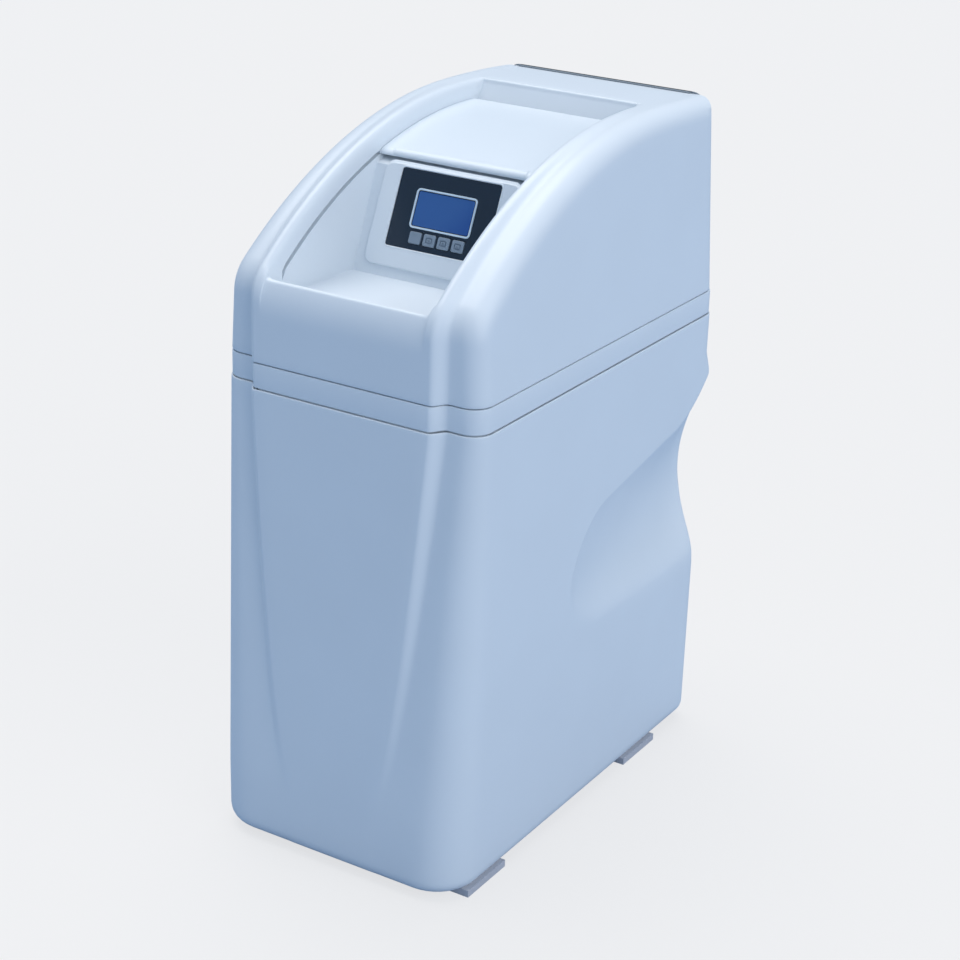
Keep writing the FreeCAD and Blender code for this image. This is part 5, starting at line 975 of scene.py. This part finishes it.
grainLook = {"fineDetail": 3.0, "coarseDetail": 2.0, "coarseScale": 9.0, "mottle": 0.03, "bump": 0.0004}


def addNode(tree, kind, values=()):
    node = tree.nodes.new(f"ShaderNode{kind}")
    for socket, value in dict(values).items():
        node.inputs[socket].default_value = value
    return node


def wire(tree, *pairs):
    for start, end in pairs:
        tree.links.new(start, end)


def mixColours(tree, first, second):
    # A mix node for colours keeps them in its sockets 6 and 7 and gives the result out of its socket 2
    mix = addNode(tree, "Mix")
    mix.data_type = "RGBA"
    mix.inputs[6].default_value, mix.inputs[7].default_value = (*first, 1.0), (*second, 1.0)
    wire(tree, (mix.outputs[2], tree.nodes["Principled BSDF"].inputs["Base Color"]))
    return mix.inputs["Factor"]


def grainGroup():
    # Fine moulded grain: two sizes of noise, the fine one as a height and the coarse one as a slow mottle
    group = bpy.data.node_groups.new("mouldedGrain", "ShaderNodeTree")
    for name, way, kind in (("Place", "INPUT", "Vector"), ("Scale", "INPUT", "Float"),
                            ("Height", "OUTPUT", "Float"), ("Mottle", "OUTPUT", "Float")):
        group.interface.new_socket(name, in_out=way, socket_type=f"NodeSocket{kind}")
    source, result = (group.nodes.new(f"NodeGroup{side}") for side in ("Input", "Output"))
    fine = addNode(group, "TexNoise", {"Detail": grainLook["fineDetail"]})
    coarse = addNode(group, "TexNoise", {"Detail": grainLook["coarseDetail"],
                                         "Scale": grainLook["coarseScale"]})
    place = source.outputs["Place"]
    wire(group, (place, fine.inputs["Vector"]), (source.outputs["Scale"], fine.inputs["Scale"]),
         (place, coarse.inputs["Vector"]), (fine.outputs["Fac"], result.inputs["Height"]),
         (coarse.outputs["Fac"], result.inputs["Mottle"]))
    return group


grain = grainGroup()


def finish(slot, colour, rough, strength, scale):
    material = bpy.data.materials.new(slot)
    material.use_nodes = True
    tree = material.node_tree
    shader = tree.nodes["Principled BSDF"]
    place = addNode(tree, "TexCoord").outputs["Object"]
    moulded = addNode(tree, "Group")
    moulded.node_tree = grain
    moulded.inputs["Scale"].default_value = scale
    second = secondColours.get(slot, {"colour": colour})
    dark, light = 1 - grainLook["mottle"], 1 + grainLook["mottle"]
    share = mixColours(tree, [c * dark for c in colour], [min(1.0, c * light) for c in second["colour"]])
    wire(tree, (place, moulded.inputs["Place"]))
    # The slope paints the window's reflection: its darker second colour takes over along a direction
    if "slope" in second:
        slant = addNode(tree, "VectorMath", {1: second["slope"]})
        slant.operation = "DOT_PRODUCT"
        start, end = second["between"]
        reach = addNode(tree, "MapRange", {"From Min": start, "From Max": end})
        reach.interpolation_type = "SMOOTHSTEP"
        wire(tree, (place, slant.inputs[0]), (slant.outputs["Value"], reach.inputs["Value"]),
             (reach.outputs["Result"], share))
    elif "grains" in second:
        cells = addNode(tree, "TexVoronoi", {"Scale": second["grains"]})
        spot = addNode(tree, "SeparateColor")
        wire(tree, (place, cells.inputs["Vector"]), (cells.outputs["Color"], spot.inputs["Color"]),
             (spot.outputs["Red"], share))
    else:
        wire(tree, (moulded.outputs["Mottle"], share))
    shader.inputs["Metallic"].default_value = float(slot in metals)
    shader.inputs["Roughness"].default_value = rough
    if strength:
        bump = addNode(tree, "Bump", {"Strength": strength, "Distance": grainLook["bump"]})
        wire(tree, (moulded.outputs["Height"], bump.inputs["Height"]),
             (bump.outputs["Normal"], shader.inputs["Normal"]))
    return material


materials = {slot: finish(slot, *look) for slot, look in finishes.items()}
for entry in record["subparts"]:
    thing = nodes[entry["node"]]
    thing.data.materials.clear()
    thing.data.materials.append(materials[entry["material_slot"]])
for thing in bpy.data.objects:
    if thing.type == "MESH" and "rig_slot" in thing:
        thing.data.materials.append(materials[thing["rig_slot"]])
print("stage: finishes")

# Floor, light and camera
studio = {
    "half": 9.0, "seen": (0.80, 0.765, 0.73), "bounced": (0.26, 0.36, 0.50), "rough": 0.9, "shine": 0.1,
    "even": (0.888, 0.895, 0.910), "evenShare": 0.80,
    "background": (0.89, 0.90, 0.915), "glow": (0.52, 0.72, 1.0), "glowStrength": 0.47,
}
lamps = {
    "keyLamp": {"from": (-0.25, 0.15, 1.0), "strength": 1.95, "angle": 50.0, "colour": (1.0, 0.97, 0.93)},
    "sideLamp": {"from": (1.0, -0.2, 0.45), "strength": 1.12, "angle": 60.0, "colour": (1.0, 1.0, 1.0)},
    "frontLamp": {"from": (-0.3, -1.0, 0.3), "strength": 0.04, "angle": 70.0, "colour": (1.0, 1.0, 1.0)},
}
camera = {
    "azimuth": 31.379, "elevation": 22.515, "roll": 1.889, "distance": 2.087502,
    "aim": (0.017692, -0.018405, 0.318709), "focal": 2211.898, "frame": 960.0, "sensor": 36.0,
    "farthest": 50.0,
}


def floorPiece():
    mesh = bpy.data.meshes.new("studioFloor")
    half = studio["half"]
    corners = [(-half, -half, 0), (half, -half, 0), (half, half, 0), (-half, half, 0)]
    mesh.from_pydata(corners, [], [(0, 1, 2, 3)])
    thing = bpy.data.objects.new("studioFloor", mesh)
    bpy.context.scene.collection.objects.link(thing)
    material = bpy.data.materials.new("studioFloor")
    material.use_nodes = True
    # Pale to the camera, deeper and cooler in the light that it throws back at the cabinet
    tree = material.node_tree
    shader = tree.nodes["Principled BSDF"]
    shader.inputs["Roughness"].default_value = studio["rough"]
    shader.inputs["Specular IOR Level"].default_value = studio["shine"]
    seen = addNode(tree, "LightPath").outputs["Is Camera Ray"]
    wire(tree, (seen, mixColours(tree, studio["bounced"], studio["seen"])))
    # Most of what the camera sees is one even tone; the rest keeps the soft shadow at the feet
    even = addNode(tree, "Emission", {"Color": (*studio["even"], 1.0)})
    share = addNode(tree, "Math", {1: studio["evenShare"]})
    share.operation = "MULTIPLY"
    blend = addNode(tree, "MixShader")
    wire(tree, (seen, share.inputs[0]), (share.outputs["Value"], blend.inputs["Fac"]),
         (shader.outputs["BSDF"], blend.inputs[1]), (even.outputs["Emission"], blend.inputs[2]),
         (blend.outputs["Shader"], tree.nodes["Material Output"].inputs["Surface"]))
    mesh.materials.append(material)


def setLamps():
    for name, lamp in lamps.items():
        data = bpy.data.lights.new(name, "SUN")
        data.energy = lamp["strength"]
        data.angle = math.radians(lamp["angle"])
        data.color = lamp["colour"]
        thing = bpy.data.objects.new(name, data)
        thing.rotation_euler = Vector(lamp["from"]).to_track_quat("Z", "Y").to_euler()
        bpy.context.scene.collection.objects.link(thing)


def setWorld():
    # A plain background to the camera, and a cool glow to everything else
    world = bpy.data.worlds.new("studio")
    bpy.context.scene.world = world
    world.use_nodes = True
    tree = world.node_tree
    tree.nodes.clear()
    seen = addNode(tree, "Background", {"Color": (*studio["background"], 1.0)})
    glow = addNode(tree, "Background", {"Color": (*studio["glow"], 1.0), "Strength": studio["glowStrength"]})
    rays, mixed, output = (addNode(tree, kind) for kind in ("LightPath", "MixShader", "OutputWorld"))
    wire(tree, (rays.outputs["Is Camera Ray"], mixed.inputs["Fac"]),
         (glow.outputs["Background"], mixed.inputs[1]), (seen.outputs["Background"], mixed.inputs[2]),
         (mixed.outputs["Shader"], output.inputs["Surface"]))


def setCamera():
    azimuth, elevation, roll = (math.radians(camera[name]) for name in ("azimuth", "elevation", "roll"))
    back = Vector((math.sin(azimuth) * math.cos(elevation), -math.cos(azimuth) * math.cos(elevation),
                   math.sin(elevation)))
    right = Vector((0, 0, 1)).cross(back).normalized()
    up = back.cross(right)
    rolledRight = math.cos(roll) * right + math.sin(roll) * up
    rolledUp = -math.sin(roll) * right + math.cos(roll) * up
    data = bpy.data.cameras.new("studioCamera")
    data.sensor_width = camera["sensor"]
    data.lens = camera["focal"] * camera["sensor"] / camera["frame"]
    data.clip_end = camera["farthest"]
    thing = bpy.data.objects.new("studioCamera", data)
    place = Vector(camera["aim"]) + back * camera["distance"]
    turned = Matrix((rolledRight, rolledUp, back)).transposed().to_4x4()
    thing.matrix_world = Matrix.Translation(place) @ turned
    bpy.context.scene.collection.objects.link(thing)
    bpy.context.scene.camera = thing


floorPiece()
setLamps()
setWorld()
setCamera()
bpy.context.scene.view_settings.view_transform = "Standard"
